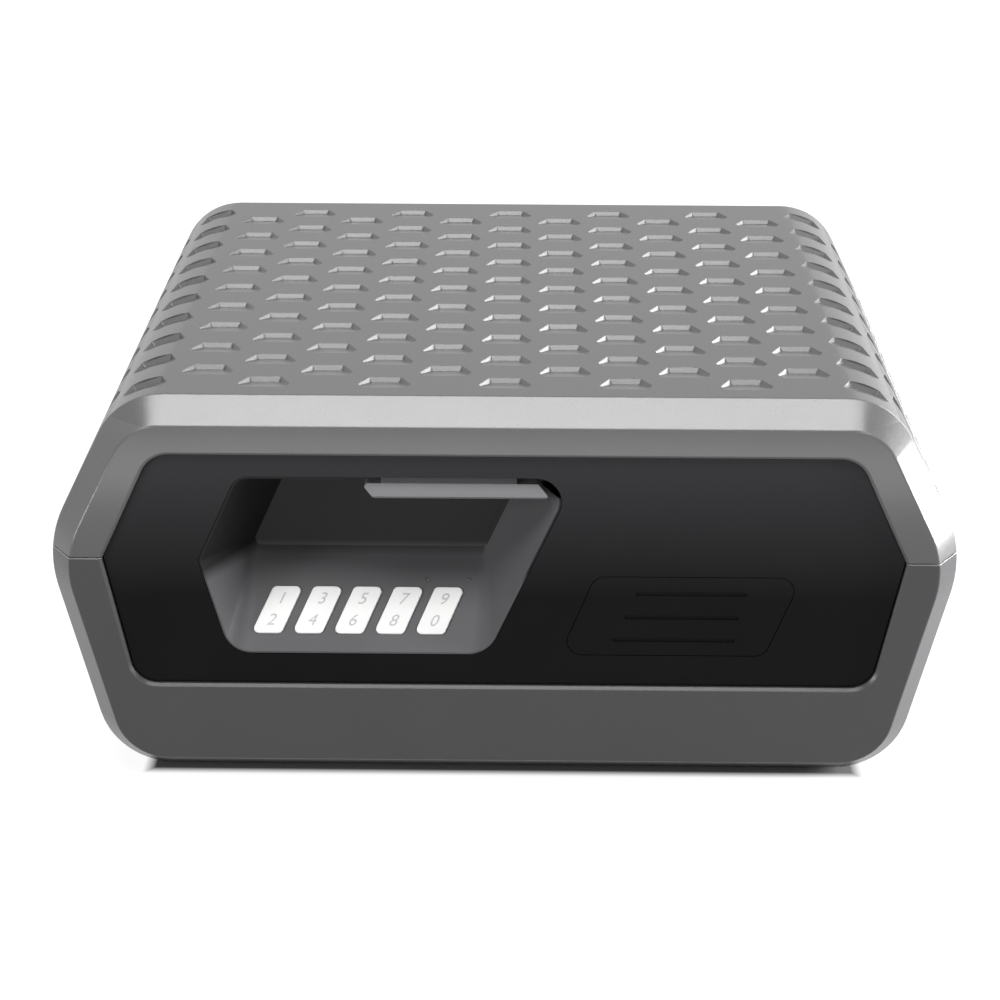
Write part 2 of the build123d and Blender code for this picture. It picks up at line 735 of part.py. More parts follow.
base_fill = slab(
    base_fill_front, liner_rear, BASE_SKIN + SEAT_GAP, BASE_SKIN + SEAT_GAP, base_liner_low - SEAT_GAP
)
base_tub_room = room_form(LINER + SEAT_GAP, ROOM_FLOOR - LINER - SEAT_GAP, BASE_HIGH)

with BuildPart() as base_insulation:
    add(base_fill)
    add(base_tub_room, mode=Mode.SUBTRACT)
write(base_insulation, "base_insulation")


# Hinges

base_knuckle = (HINGE_WIDTH - LID_KNUCKLE) / 2 - KNUCKLE_GAP


def hinge_leaves(side, knuckles, bore):
    """Both leaves of one side, above the parting for side 1 or below it for -1, with their knuckles."""
    with BuildPart() as leaves:
        for centre in (-HINGE_CENTRE, HINGE_CENTRE):
            plate_height = LEAF_HEIGHT - LEAF_NECK
            with BuildSketch(facing(BODY_DEPTH - LEAF_THICKNESS)):
                with Locations((centre, PARTING_HEIGHT + side * (LEAF_NECK + plate_height / 2))):
                    Rectangle(HINGE_WIDTH, plate_height)
                for start, length in knuckles:
                    with Locations((centre + start + length / 2, PARTING_HEIGHT + side * LEAF_NECK / 2)):
                        Rectangle(length, LEAF_NECK)
            extrude(amount=-LEAF_THICKNESS)
            for start, length in knuckles:
                with BuildSketch(beside(centre + start)):
                    with Locations(side_point(HINGE_DEPTH, PARTING_HEIGHT)):
                        Circle(KNUCKLE_RADIUS)
                extrude(amount=length)
                with BuildSketch(beside(centre + start)):
                    with Locations(side_point(HINGE_DEPTH, PARTING_HEIGHT)):
                        Circle(bore)
                extrude(amount=length, mode=Mode.SUBTRACT)
            with BuildSketch(facing(BODY_DEPTH - LEAF_THICKNESS)):
                with Locations(*rivet_places(centre, side)):
                    Circle(RIVET_RADIUS)
            extrude(amount=-LEAF_THICKNESS, mode=Mode.SUBTRACT)
    return leaves


lid_hinge_leaves = hinge_leaves(1, [(-LID_KNUCKLE / 2, LID_KNUCKLE)], PIN_RADIUS + RUNNING_CLEARANCE)
write(lid_hinge_leaves, "lid_hinge_leaves")

base_hinge_leaves = hinge_leaves(
    -1, [(-HINGE_WIDTH / 2, base_knuckle), (HINGE_WIDTH / 2 - base_knuckle, base_knuckle)], PIN_RADIUS
)
write(base_hinge_leaves, "base_hinge_leaves")

with BuildPart() as hinge_pins:
    for centre in (-HINGE_CENTRE, HINGE_CENTRE):
        with BuildSketch(beside(centre - HINGE_WIDTH / 2)):
            with Locations(side_point(HINGE_DEPTH, PARTING_HEIGHT)):
                Circle(PIN_RADIUS)
        extrude(amount=HINGE_WIDTH)
write(hinge_pins, "hinge_pins")


def rivets(side):
    """Rivets that hold the hinge leaves to a shell, with low heads outside."""
    with BuildPart() as pieces:
        for centre in (-HINGE_CENTRE, HINGE_CENTRE):
            with BuildSketch(facing(BODY_DEPTH - BASE_SKIN)):
                with Locations(*rivet_places(centre, side)):
                    Circle(RIVET_RADIUS)
            extrude(amount=-BASE_SKIN)
            with BuildSketch(facing(BODY_DEPTH)):
                with Locations(*rivet_places(centre, side)):
                    Circle(RIVET_HEAD_RADIUS)
            extrude(amount=-RIVET_HEAD)
    return pieces


lid_rivets = rivets(1)
write(lid_rivets, "lid_rivets")

base_rivets = rivets(-1)
write(base_rivets, "base_rivets")


# Front panel

with BuildPart() as front_panel:
    with BuildSketch(facing(PANEL_SETBACK)):
        panel_outline(0)
    extrude(amount=-PANEL_THICKNESS)
    with BuildSketch(facing(PANEL_BACK)):
        with Locations(*POST_PLACES):
            Circle(POST_RADIUS)
    extrude(amount=-(HOUSING_DEPTH - HOUSING_WALL - PANEL_BACK))
    with BuildSketch(facing(PANEL_SETBACK)):
        rounded(
            grown(BOWL_MOUTH, BOWL_RIM + PANEL_SEAM), grown_radii(BOWL_MOUTH_RADII, BOWL_RIM + PANEL_SEAM)
        )
    extrude(amount=-PANEL_THICKNESS, mode=Mode.SUBTRACT)
    with BuildSketch(facing(PANEL_SETBACK)):
        cover_outline(COVER_GAP)
    extrude(amount=-(COVER_THICKNESS + COVER_SEAT), mode=Mode.SUBTRACT)
    with BuildSketch(facing(PANEL_SETBACK)):
        cover_outline(-COVER_LEDGE)
    extrude(amount=-PANEL_THICKNESS, mode=Mode.SUBTRACT)
    with BuildSketch(facing(HOUSING_DEPTH - HOUSING_WALL)):
        with Locations(*POST_PLACES):
            Circle(SCREW_RADIUS)
    extrude(amount=SCREW_LENGTH, mode=Mode.SUBTRACT)
write(front_panel, "front_panel")


# Lock housing and its screws

hook_places = [(-HOOK_X, (HOOK_SLOT_LOW + HOOK_SLOT_HIGH) / 2), (HOOK_X, (HOOK_SLOT_LOW + HOOK_SLOT_HIGH) / 2)]
solenoid_middle = SOLENOID_LEFT + SOLENOID_LENGTH / 2
solenoid_screw_places = [(solenoid_middle + step * SOLENOID_SCREW_X, PLUNGER_HEIGHT) for step in (-1, 1)]
ear_middle = (EAR_LOW + EAR_HIGH) / 2

with BuildPart() as lock_housing:
    with BuildSketch(facing(PANEL_BACK)):
        panel_outline(-HOUSING_INSET)
    extrude(amount=-(HOUSING_DEPTH - PANEL_BACK))
    split(bisect_by=level(HOUSING_TOP), keep=Keep.BOTTOM)
    with BuildSketch(facing(BEVEL_DEPTH)):
        panel_outline(EAR_REACH)
        with Locations((0, ear_middle)):
            Rectangle(BODY_WIDTH, EAR_HIGH - EAR_LOW, mode=Mode.INTERSECT)
    extrude(amount=-EAR_THICKNESS)
    with BuildSketch(facing(PANEL_BACK)):
        panel_outline(-HOUSING_INSET - HOUSING_WALL)
    extrude(amount=-(HOUSING_DEPTH - HOUSING_WALL - PANEL_BACK), mode=Mode.SUBTRACT)
    with BuildSketch(facing(HOUSING_DEPTH)):
        with Locations(*hook_places):
            Rectangle(2 * HOOK_SLOT_HALF, HOOK_SLOT_HIGH - HOOK_SLOT_LOW)
        with Locations(*POST_PLACES, *solenoid_screw_places):
            Circle(SCREW_RADIUS)
    extrude(amount=HOUSING_WALL, mode=Mode.SUBTRACT)
    with BuildSketch(facing(BEVEL_DEPTH)):
        with Locations(*ear_screw_places):
            Circle(SCREW_RADIUS)
    extrude(amount=-EAR_THICKNESS, mode=Mode.SUBTRACT)
write(lock_housing, "lock_housing")


def screws(places, head_depth, shank):
    """Screws that point to the front, with their heads behind the surface at a depth."""
    with BuildPart() as pieces:
        with BuildSketch(facing(head_depth)):
            with Locations(*places):
                Circle(SCREW_HEAD_RADIUS)
        extrude(amount=-SCREW_HEAD)
        with BuildSketch(facing(head_depth)):
            with Locations(*places):
                Circle(SCREW_RADIUS)
        extrude(amount=shank)
        with BuildSketch(facing(head_depth + SCREW_HEAD)):
            with Locations(*places):
                RegularPolygon(SCREW_SOCKET, 6)
        extrude(amount=SCREW_HEAD / 2, mode=Mode.SUBTRACT)
    return pieces


housing_screws = screws(POST_PLACES, HOUSING_DEPTH, HOUSING_WALL + SCREW_LENGTH)
write(housing_screws, "housing_screws")

ear_screws = screws(ear_screw_places, BEVEL_DEPTH + EAR_THICKNESS, EAR_THICKNESS + EAR_SCREW_GRIP)
write(ear_screws, "ear_screws")

solenoid_screws = screws(solenoid_screw_places, HOUSING_DEPTH, HOUSING_WALL + SCREW_LENGTH)
write(solenoid_screws, "solenoid_screws")


# Keypad recess

slope = atan2(BOWL_BACK_LOW - BOWL_MOUTH_LOW, BOWL_DEPTH - BOWL_SETBACK)
SLOPE_NORMAL = (0, -sin(slope), cos(slope))


def on_slope(rise):
    """The sloping floor of the recess, or a plane a rise above it: its x is X, its y runs up the slope."""
    foot = Vector(0, y_at(BOWL_SETBACK), z_at(BOWL_MOUTH_LOW)) + Vector(*SLOPE_NORMAL) * rise
    return Plane(origin=foot, x_dir=(1, 0, 0), z_dir=SLOPE_NORMAL)


def key_corners(index, growth):
    left = KEY_FIRST + KEY_PITCH * index
    return grown(leaning_corners(left, left + KEY_WIDTH, KEY_LOW, KEY_LOW + KEY_LENGTH, KEY_LEAN), growth)


def key_radii(growth):
    return grown_radii([KEY_RADIUS] * 4, growth)


flange_top = -BOWL_WALL - KEY_FLANGE_GAP
flange_bottom = flange_top - KEY_FLANGE_THICKNESS
mat_top = flange_bottom - KEY_TRAVEL - KEY_FLANGE_GAP
board_top = mat_top - MAT_THICKNESS
board_bottom = board_top - BOARD_THICKNESS
boss_places = [
    (x, up) for x in (BOARD_LEFT + BOSS_SIDE_INSET, BOARD_RIGHT - BOSS_SIDE_INSET)
    for up in (BOARD_LOW + BOSS_END_INSET, BOARD_HIGH - BOSS_END_INSET)
]
board_middle = ((BOARD_LEFT + BOARD_RIGHT) / 2, (BOARD_LOW + BOARD_HIGH) / 2)
board_size = (BOARD_RIGHT - BOARD_LEFT, BOARD_HIGH - BOARD_LOW)
bowl_outer = bowl_form(BOWL_RIM, BOWL_WALL)
bowl_inner = bowl_form(0, 0)

with BuildPart() as keypad_bowl:
    add(bowl_outer)
    with BuildSketch(facing(PANEL_BACK)):
        rounded(grown(BOWL_MOUTH, BOWL_FLANGE), grown_radii(BOWL_MOUTH_RADII, BOWL_FLANGE))
    extrude(amount=-BOWL_FLANGE_THICKNESS)
    with BuildSketch(on_slope(-BOWL_WALL)):
        with Locations(board_middle):
            Rectangle(board_size[0], board_size[1] - 2 * PLATE_INSET)
    extrude(amount=BOWL_WALL)
    with BuildSketch(on_slope(board_top)):
        with Locations(*boss_places):
            Circle(BOSS_RADIUS)
    extrude(amount=-board_top - BOWL_WALL / 2)
    add(bowl_inner, mode=Mode.SUBTRACT)
    with BuildSketch(on_slope(flange_top)):
        for index in range(KEY_COUNT):
            rounded(key_corners(index, KEY_CLEARANCE), key_radii(KEY_CLEARANCE))
        with Locations(*LIGHT_PLACES):
            Circle(LIGHT_RADIUS + LIGHT_CLEARANCE)
    extrude(amount=2 * BOWL_WALL, both=True, mode=Mode.SUBTRACT)
    with BuildSketch(on_slope(board_top)):
        with Locations(*boss_places):
            Circle(BOARD_SCREW_RADIUS)
    extrude(amount=BOARD_SCREW_GRIP, mode=Mode.SUBTRACT)
    with BuildSketch(facing(BOWL_SETBACK)):
        with Locations(((LEVER_SLOT_LEFT + LEVER_SLOT_RIGHT) / 2, (LEVER_SLOT_LOW + PANEL_HIGH) / 2)):
            Rectangle(LEVER_SLOT_RIGHT - LEVER_SLOT_LEFT, PANEL_HIGH - LEVER_SLOT_LOW)
    extrude(amount=-(LEVER_SLOT_REAR - BOWL_SETBACK), mode=Mode.SUBTRACT)
write(keypad_bowl, "keypad_bowl")

for index in range(KEY_COUNT):
    with BuildPart() as key:
        with BuildSketch(on_slope(flange_bottom)):
            rounded(key_corners(index, KEY_FLANGE), key_radii(KEY_FLANGE))
        extrude(amount=KEY_FLANGE_THICKNESS)
        with BuildSketch(on_slope(flange_top)):
            rounded(key_corners(index, 0), key_radii(0))
        extrude(amount=KEY_PROUD - flange_top)
        top_face = key.faces().sort_by(Axis((0, 0, 0), SLOPE_NORMAL))[-1]
        fillet(top_face.edges(), KEY_EDGE)
    write(key, f"key_{index + 1}")

mat_left = KEY_FIRST - MAT_MARGIN
mat_right = KEY_FIRST + KEY_PITCH * (KEY_COUNT - 1) + KEY_WIDTH + KEY_LEAN * KEY_LENGTH + MAT_MARGIN
mat_low = KEY_LOW - MAT_MARGIN
mat_high = KEY_LOW + KEY_LENGTH + MAT_MARGIN

with BuildPart() as key_mat:
    with BuildSketch(on_slope(board_top)):
        with Locations(((mat_left + mat_right) / 2, (mat_low + mat_high) / 2)):
            Rectangle(mat_right - mat_left, mat_high - mat_low)
    extrude(amount=MAT_THICKNESS)
write(key_mat, "key_mat")

with BuildPart() as circuit_board:
    with BuildSketch(on_slope(board_bottom)):
        with Locations(board_middle):
            Rectangle(*board_size)
        with Locations(*boss_places):
            Circle(BOARD_SCREW_RADIUS, mode=Mode.SUBTRACT)
    extrude(amount=BOARD_THICKNESS)
write(circuit_board, "circuit_board")

with BuildPart() as board_screws:
    with BuildSketch(on_slope(board_bottom)):
        with Locations(*boss_places):
            Circle(BOARD_SCREW_RADIUS)
    extrude(amount=BOARD_THICKNESS + BOARD_SCREW_GRIP)
    with BuildSketch(on_slope(board_bottom)):
        with Locations(*boss_places):
            Circle(BOARD_SCREW_HEAD_RADIUS)
    extrude(amount=-BOARD_SCREW_HEAD)
write(board_screws, "board_screws")

with BuildPart() as indicator_lights:
    with BuildSketch(on_slope(board_top)):
        with Locations(*LIGHT_PLACES):
            Circle(LIGHT_RADIUS)
    extrude(amount=LIGHT_PROUD - board_top)
write(indicator_lights, "indicator_lights")


# Latch shaft with its lever, hooks and spring

shaft_point = side_point(SHAFT_DEPTH, SHAFT_HEIGHT)


def shaft_bore(piece_start, piece_length, clearance):
    """The space of the shaft through a piece, with a radial clearance."""
    with BuildPart() as bore:
        with BuildSketch(beside(piece_start)):
            with Locations(shaft_point):
                Circle(SHAFT_RADIUS + clearance)
        extrude(amount=piece_length)
    return bore.part


with BuildPart() as latch_shaft:
    with BuildSketch(beside(-SHAFT_HALF_LENGTH)):
        with Locations(shaft_point):
            Circle(SHAFT_RADIUS)
    extrude(amount=2 * SHAFT_HALF_LENGTH)
write(latch_shaft, "latch_shaft")

lever_profile = [
    side_point(depth, height) for depth, height in (
        (LEVER_FACE_TOP, LEVER_TOP), (LEVER_FACE_LOW, LEVER_BOTTOM + LEVER_NOSE),
        (LEVER_FACE_LOW + LEVER_NOSE, LEVER_BOTTOM), (LEVER_FACE_LOW + LEVER_GRIP, LEVER_BOTTOM),
        (LEVER_FACE_LOW + 2 * LEVER_GRIP, LEVER_BOTTOM + LEVER_GRIP), (SHAFT_DEPTH + HUB_FLANK, SHAFT_HEIGHT - HUB_FLANK),
        (SHAFT_DEPTH, SHAFT_HEIGHT), (SHAFT_DEPTH - HUB_FLANK, SHAFT_HEIGHT - HUB_FLANK),
    )
]
lever_low_left = LEVER_LEFT + LEVER_LEAN * (LEVER_TOP - LEVER_BOTTOM)
lever_low_right = LEVER_RIGHT + LEVER_LEAN * (LEVER_TOP - LEVER_BOTTOM)
lever_reach = LEVER_SLOT_RIGHT - LEVER_SLOT_LEFT
lever_bore = shaft_bore(LEVER_SLOT_LEFT, lever_reach, FIXED_CLEARANCE)

with BuildPart() as release_lever:
    with BuildSketch(beside(LEVER_SLOT_LEFT)):
        with BuildLine():
            Polyline(*lever_profile, close=True)
        make_face()
        with Locations(shaft_point):
            Circle(HUB_RADIUS)
    extrude(amount=lever_reach)
    with BuildSketch(facing(0)):
        rounded(
            leaning_corners(lever_low_left, lever_low_right, LEVER_BOTTOM, LEVER_TOP, -LEVER_LEAN),
            [LEVER_CORNER] * 4,
        )
        with Locations(((LEVER_HUB_LEFT + LEVER_HUB_RIGHT) / 2, SHAFT_HEIGHT)):
            Rectangle(LEVER_HUB_RIGHT - LEVER_HUB_LEFT, 2 * (SHAFT_HEIGHT - LEVER_BOTTOM) - 2 * HUB_RADIUS)
    extrude(amount=-LEVER_SLOT_REAR, mode=Mode.INTERSECT)
    add(lever_bore, mode=Mode.SUBTRACT)
write(release_lever, "release_lever")

with BuildPart() as lever_spring:
    with BuildSketch(beside(LEVER_HUB_RIGHT)):
        with Locations(shaft_point):
            Circle(HUB_RADIUS)
            Circle(SHAFT_RADIUS + 2 * RUNNING_CLEARANCE, mode=Mode.SUBTRACT)
    extrude(amount=SPRING_LENGTH)
write(lever_spring, "lever_spring")

hook_profile = [
    side_point(depth, height) for depth, height in (
        (SHAFT_DEPTH - HUB_FLANK, SHAFT_HEIGHT - HUB_FLANK), (HOOK_TIP_DEPTH - HOOK_SHANK, HOOK_TOP + HOOK_BARB),
        (HOOK_TIP_DEPTH - HOOK_SHANK, HOOK_BOTTOM), (HOOK_TIP_DEPTH - HOOK_BARB, HOOK_BOTTOM),
        (HOOK_TIP_DEPTH, HOOK_TOP - HOOK_BARB), (HOOK_TIP_DEPTH, HOOK_TOP), (HOOK_TIP_DEPTH - HOOK_BARB, HOOK_TOP),
        (HOOK_TIP_DEPTH - HOOK_BARB, HOOK_TOP + HOOK_BARB), (SHAFT_DEPTH + HUB_FLANK, SHAFT_HEIGHT + HUB_FLANK),
    )
]

with BuildPart() as latch_hooks:
    for side in (-1, 1):
        hook_start = side * HOOK_X - HOOK_THICKNESS / 2
        with BuildSketch(beside(hook_start)):
            with BuildLine():
                Polyline(*hook_profile, close=True)
            make_face()
            with Locations(shaft_point):
                Circle(HUB_RADIUS)
                Circle(SHAFT_RADIUS + FIXED_CLEARANCE, mode=Mode.SUBTRACT)
        extrude(amount=HOOK_THICKNESS)
write(latch_hooks, "latch_hooks")

plunger_angle = degrees(atan2(PLUNGER_HEIGHT - SHAFT_HEIGHT, PLUNGER_DEPTH - SHAFT_DEPTH))
blocker_angle = plunger_angle + BLOCKER_LEAD
blocker_middle = Vector(*shaft_point) + Vector(BLOCKER_LENGTH / 2, 0).rotate(Axis.Z, blocker_angle)

with BuildPart() as blocker_arm:
    with BuildSketch(beside(BLOCKER_X - BLOCKER_THICKNESS / 2)):
        with Locations((blocker_middle.X, blocker_middle.Y)):
            Rectangle(BLOCKER_LENGTH, BLOCKER_WIDTH, rotation=blocker_angle)
        with Locations(shaft_point):
            Circle(HUB_RADIUS)
            Circle(SHAFT_RADIUS + FIXED_CLEARANCE, mode=Mode.SUBTRACT)
    extrude(amount=BLOCKER_THICKNESS)
write(blocker_arm, "blocker_arm")


# Brackets that carry the shaft

bracket_rear = SHAFT_DEPTH + BRACKET_REACH
bracket_high = BRACKET_SCREW_HEIGHT + BRACKET_MARGIN
bracket_profile = [
    side_point(depth, height) for depth, height in (
        (SHAFT_DEPTH, SHAFT_HEIGHT - HUB_RADIUS), (bracket_rear - HUB_RADIUS, SHAFT_HEIGHT - HUB_RADIUS),
        (bracket_rear, SHAFT_HEIGHT), (bracket_rear, BRACKET_SCREW_HEIGHT), (BEVEL_DEPTH + HUB_RADIUS, bracket_high),
        (BEVEL_DEPTH, bracket_high), (BEVEL_DEPTH, SHAFT_HEIGHT + HUB_RADIUS),
        (SHAFT_DEPTH, SHAFT_HEIGHT + HUB_RADIUS),
    )
]
foot_low = PANEL_HIGH
foot_middle = (foot_low + bracket_high) / 2

with BuildPart() as shaft_brackets:
    for place in BRACKET_PLACES:
        with BuildSketch(beside(place - BRACKET_THICKNESS / 2)):
            with BuildLine():
                Polyline(*bracket_profile, close=True)
            make_face()
            with Locations(shaft_point):
                Circle(HUB_RADIUS)
                Circle(SHAFT_RADIUS + RUNNING_CLEARANCE, mode=Mode.SUBTRACT)
        extrude(amount=BRACKET_THICKNESS)
        with BuildSketch(facing(BEVEL_DEPTH)):
            with Locations((place, foot_middle)):
                Rectangle(BRACKET_FOOT_WIDTH, bracket_high - foot_low)
        extrude(amount=-BRACKET_FOOT_THICKNESS)
    with BuildSketch(facing(BEVEL_DEPTH)):
        with Locations(*bracket_screw_places):
            Circle(SCREW_RADIUS)
    extrude(amount=-BRACKET_FOOT_THICKNESS, mode=Mode.SUBTRACT)
write(shaft_brackets, "shaft_brackets")

bracket_screws = screws(
    bracket_screw_places, BEVEL_DEPTH + BRACKET_FOOT_THICKNESS, BRACKET_FOOT_THICKNESS + EAR_SCREW_GRIP
)
write(bracket_screws, "bracket_screws")


# Solenoid and its plunger

solenoid_front = PLUNGER_DEPTH - SOLENOID_SIDE / 2
solenoid_back = HOUSING_DEPTH - HOUSING_WALL
plunger_point = side_point(PLUNGER_DEPTH, PLUNGER_HEIGHT)

with BuildPart() as solenoid_body:
    with BuildSketch(facing(solenoid_front)):
        with Locations((solenoid_middle, PLUNGER_HEIGHT)):
            Rectangle(SOLENOID_LENGTH, SOLENOID_SIDE)
    extrude(amount=-(solenoid_back - solenoid_front))
    with BuildSketch(beside(SOLENOID_LEFT)):
        with Locations(plunger_point):
            Circle(PLUNGER_RADIUS + RUNNING_CLEARANCE)
    extrude(amount=SOLENOID_BORE, mode=Mode.SUBTRACT)
    with BuildSketch(facing(solenoid_back)):
        with Locations(*solenoid_screw_places):
            Circle(SCREW_RADIUS)
    extrude(amount=SCREW_LENGTH, mode=Mode.SUBTRACT)
write(solenoid_body, "solenoid_body")

with BuildPart() as solenoid_plunger:
    with BuildSketch(beside(BLOCKER_X + BLOCKER_THICKNESS / 2 - PLUNGER_OVERLAP)):
        with Locations(plunger_point):
            Circle(PLUNGER_RADIUS)
    extrude(amount=PLUNGER_LENGTH)
write(solenoid_plunger, "solenoid_plunger")


# Keepers for the hooks

with BuildPart() as latch_keepers:
    for side in (-1, 1):
        with BuildSketch(facing(LOCK_POCKET_DEPTH)):
            with Locations((side * HOOK_X, (KEEPER_LOW + KEEPER_HIGH) / 2)):
                Rectangle(KEEPER_WIDTH, KEEPER_HIGH - KEEPER_LOW)
        extrude(amount=KEEPER_PLATE)
        with BuildSketch(facing(LOCK_POCKET_DEPTH)):
            with Locations((side * HOOK_X, KEEPER_LOW + KEEPER_LIP / 2)):
                Rectangle(KEEPER_WIDTH, KEEPER_LIP)
        extrude(amount=LOCK_POCKET_DEPTH - KEEPER_FRONT)
    with BuildSketch(facing(LOCK_POCKET_DEPTH)):
        with Locations(*keeper_screw_places):
            Circle(SCREW_RADIUS)
    extrude(amount=KEEPER_PLATE, mode=Mode.SUBTRACT)
write(latch_keepers, "latch_keepers")

with BuildPart() as keeper_screws:
    with BuildSketch(facing(LOCK_POCKET_DEPTH - KEEPER_PLATE)):
        with Locations(*keeper_screw_places):
            Circle(SCREW_HEAD_RADIUS)
    extrude(amount=KEEPER_SCREW_HEAD)
    with BuildSketch(facing(LOCK_POCKET_DEPTH - KEEPER_PLATE)):
        with Locations(*keeper_screw_places):
            Circle(SCREW_RADIUS)
    extrude(amount=-(KEEPER_PLATE + SCREW_GRIP))
write(keeper_screws, "keeper_screws")


# Battery cover, tray, cells and contacts

with BuildPart() as battery_cover:
    with BuildSketch(facing(PANEL_SETBACK)):
        cover_outline(0)
    extrude(amount=-COVER_THICKNESS)
    with BuildSketch(facing(PANEL_SETBACK + COVER_THICKNESS)):
        cover_outline(-COVER_LEDGE - COVER_GAP)
        rounded(
            grown(COVER_CORNERS, -COVER_LEDGE - COVER_GAP - COVER_RIM_WIDTH),
            grown_radii([COVER_RADIUS] * 4, -COVER_LEDGE - COVER_GAP - COVER_RIM_WIDTH),
            Mode.SUBTRACT,
        )
    extrude(amount=-COVER_RIM)
    with BuildSketch(facing(PANEL_SETBACK)):
        for left, length, height in zip(GROOVE_LEFTS, GROOVE_LENGTHS, GROOVE_HEIGHTS):
            with Locations((left + length / 2, height)):
                SlotOverall(length, GROOVE_WIDTH)
    extrude(amount=-GROOVE_DEPTH, mode=Mode.SUBTRACT)
write(battery_cover, "battery_cover")

tray_depth = TRAY_INSIDE + TRAY_WALL

with BuildPart() as battery_tray:
    with BuildSketch(facing(PANEL_BACK)):
        cover_outline(TRAY_FLANGE)
    extrude(amount=-TRAY_WALL)
    with BuildSketch(facing(PANEL_BACK)):
        with Locations((TRAY_CENTRE_X, TRAY_CENTRE_HEIGHT)):
            Rectangle(TRAY_LENGTH + 2 * TRAY_WALL, TRAY_INSIDE + 2 * TRAY_WALL)
    extrude(amount=-tray_depth)
    with BuildSketch(facing(PANEL_BACK)):
        with Locations((TRAY_CENTRE_X, TRAY_CENTRE_HEIGHT)):
            Rectangle(TRAY_LENGTH, TRAY_INSIDE)
    extrude(amount=-TRAY_INSIDE, mode=Mode.SUBTRACT)
write(battery_tray, "battery_tray")

cell_whole = CELL_LENGTH + CELL_TIP
contact_reach = (TRAY_LENGTH - cell_whole) / 2 - CONTACT_THICKNESS - KNUCKLE_GAP
cell_depth = PANEL_BACK + TRAY_INSIDE / 2
cell_places = [
    (layer, row, side_point(cell_depth + layer * CELL_PITCH / 2, TRAY_CENTRE_HEIGHT + row * CELL_PITCH / 2))
    for layer in (-1, 1)
    for row in (-1, 1)
]

with BuildPart() as battery_cells:
    for layer, row, centre in cell_places:
        tip_side = layer * row
        flat_end = TRAY_CENTRE_X - tip_side * cell_whole / 2
        with BuildSketch(beside(flat_end)):
            with Locations(centre):
                Circle(CELL_RADIUS)
        extrude(amount=tip_side * CELL_LENGTH)
        with BuildSketch(beside(flat_end + tip_side * CELL_LENGTH)):
            with Locations(centre):
                Circle(CELL_TIP_RADIUS)
        extrude(amount=tip_side * CELL_TIP)
write(battery_cells, "battery_cells")

with BuildPart() as battery_contacts:
    for layer, row, centre in cell_places:
        for end in (-1, 1):
            wall = TRAY_CENTRE_X + end * TRAY_LENGTH / 2
            with BuildSketch(beside(wall)):
                with Locations(centre):
                    Rectangle(CONTACT_SIDE, CONTACT_SIDE)
            extrude(amount=-end * CONTACT_THICKNESS)
            with BuildSketch(beside(wall - end * CONTACT_THICKNESS)):
                with Locations(centre):
                    Circle(CONTACT_COIL_RADIUS)
            extrude(amount=-end * contact_reach)
write(battery_contacts, "battery_contacts")
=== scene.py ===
"""The portable safe in its finishes, with its numerals, spring and screws, on a pale floor in soft light."""
import json
import math

import bmesh
import bpy
from mathutils import Matrix, Vector


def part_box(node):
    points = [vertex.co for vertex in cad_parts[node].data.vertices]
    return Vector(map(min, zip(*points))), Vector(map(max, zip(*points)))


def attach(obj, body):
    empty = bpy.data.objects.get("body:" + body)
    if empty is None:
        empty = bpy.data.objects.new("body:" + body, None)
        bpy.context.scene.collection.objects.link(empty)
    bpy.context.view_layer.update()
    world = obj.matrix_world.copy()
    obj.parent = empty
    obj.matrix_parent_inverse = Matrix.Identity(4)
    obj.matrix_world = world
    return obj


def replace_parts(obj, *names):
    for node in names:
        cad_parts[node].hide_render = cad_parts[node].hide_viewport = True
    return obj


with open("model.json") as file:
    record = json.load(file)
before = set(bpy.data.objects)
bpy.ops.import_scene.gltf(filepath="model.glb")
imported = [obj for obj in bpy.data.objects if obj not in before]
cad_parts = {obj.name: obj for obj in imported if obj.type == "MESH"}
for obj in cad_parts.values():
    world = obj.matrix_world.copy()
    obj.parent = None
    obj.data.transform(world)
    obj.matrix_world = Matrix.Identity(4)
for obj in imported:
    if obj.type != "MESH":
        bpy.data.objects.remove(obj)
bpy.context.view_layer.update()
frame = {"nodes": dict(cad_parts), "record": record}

MM = 0.001


# Nodes and colours

# Nearly all of a noise pattern lies between these two levels. The other patterns run from 0 to 1.
NOISE_LEVELS = (0.3, 0.7)
WHOLE_LEVELS = (0, 1)


def linear(hex_code):
    """An sRGB hex colour as the linear colour that a shader takes."""
    parts = [int(hex_code[start:start + 2], 16) / 255 for start in (1, 3, 5)]
    return tuple(p / 12.92 if p <= 0.04045 else ((p + 0.055) / 1.055) ** 2.4 for p in parts) + (1.0,)


def add(tree, kind, inputs, **settings):
    """Adds a node with its settings. An input takes a value or the socket that feeds it."""
    node = tree.nodes.new("ShaderNode" + kind)
    for name, value in settings.items():
        setattr(node, name, value)
    for name, value in inputs.items():
        if isinstance(value, bpy.types.NodeSocket):
            tree.links.new(value, node.inputs[name])
        else:
            node.inputs[name].default_value = value
    return node


def start_finish(name, ior, metallic=0.0):
    """A new material, its tree and shader, and the piece's own coordinates."""
    material = bpy.data.materials.new(name)
    material.use_nodes = True
    tree = material.node_tree
    shader = tree.nodes["Principled BSDF"]
    shader.inputs["IOR"].default_value = ior
    shader.inputs["Metallic"].default_value = metallic
    return material, tree, shader, add(tree, "TexCoord", {}).outputs["Object"]


def speckle(tree, place, size_mm, detail=2.0, stretch=(1, 1, 1)):
    """Soft random spots of a size in millimetres, drawn out along the axes with a stretch under 1."""
    mapped = add(tree, "Mapping", {"Vector": place, "Scale": stretch}).outputs[0]
    return add(
        tree, "TexNoise", {"Vector": mapped, "Scale": 1 / (size_mm * MM), "Detail": detail}
    ).outputs[0]


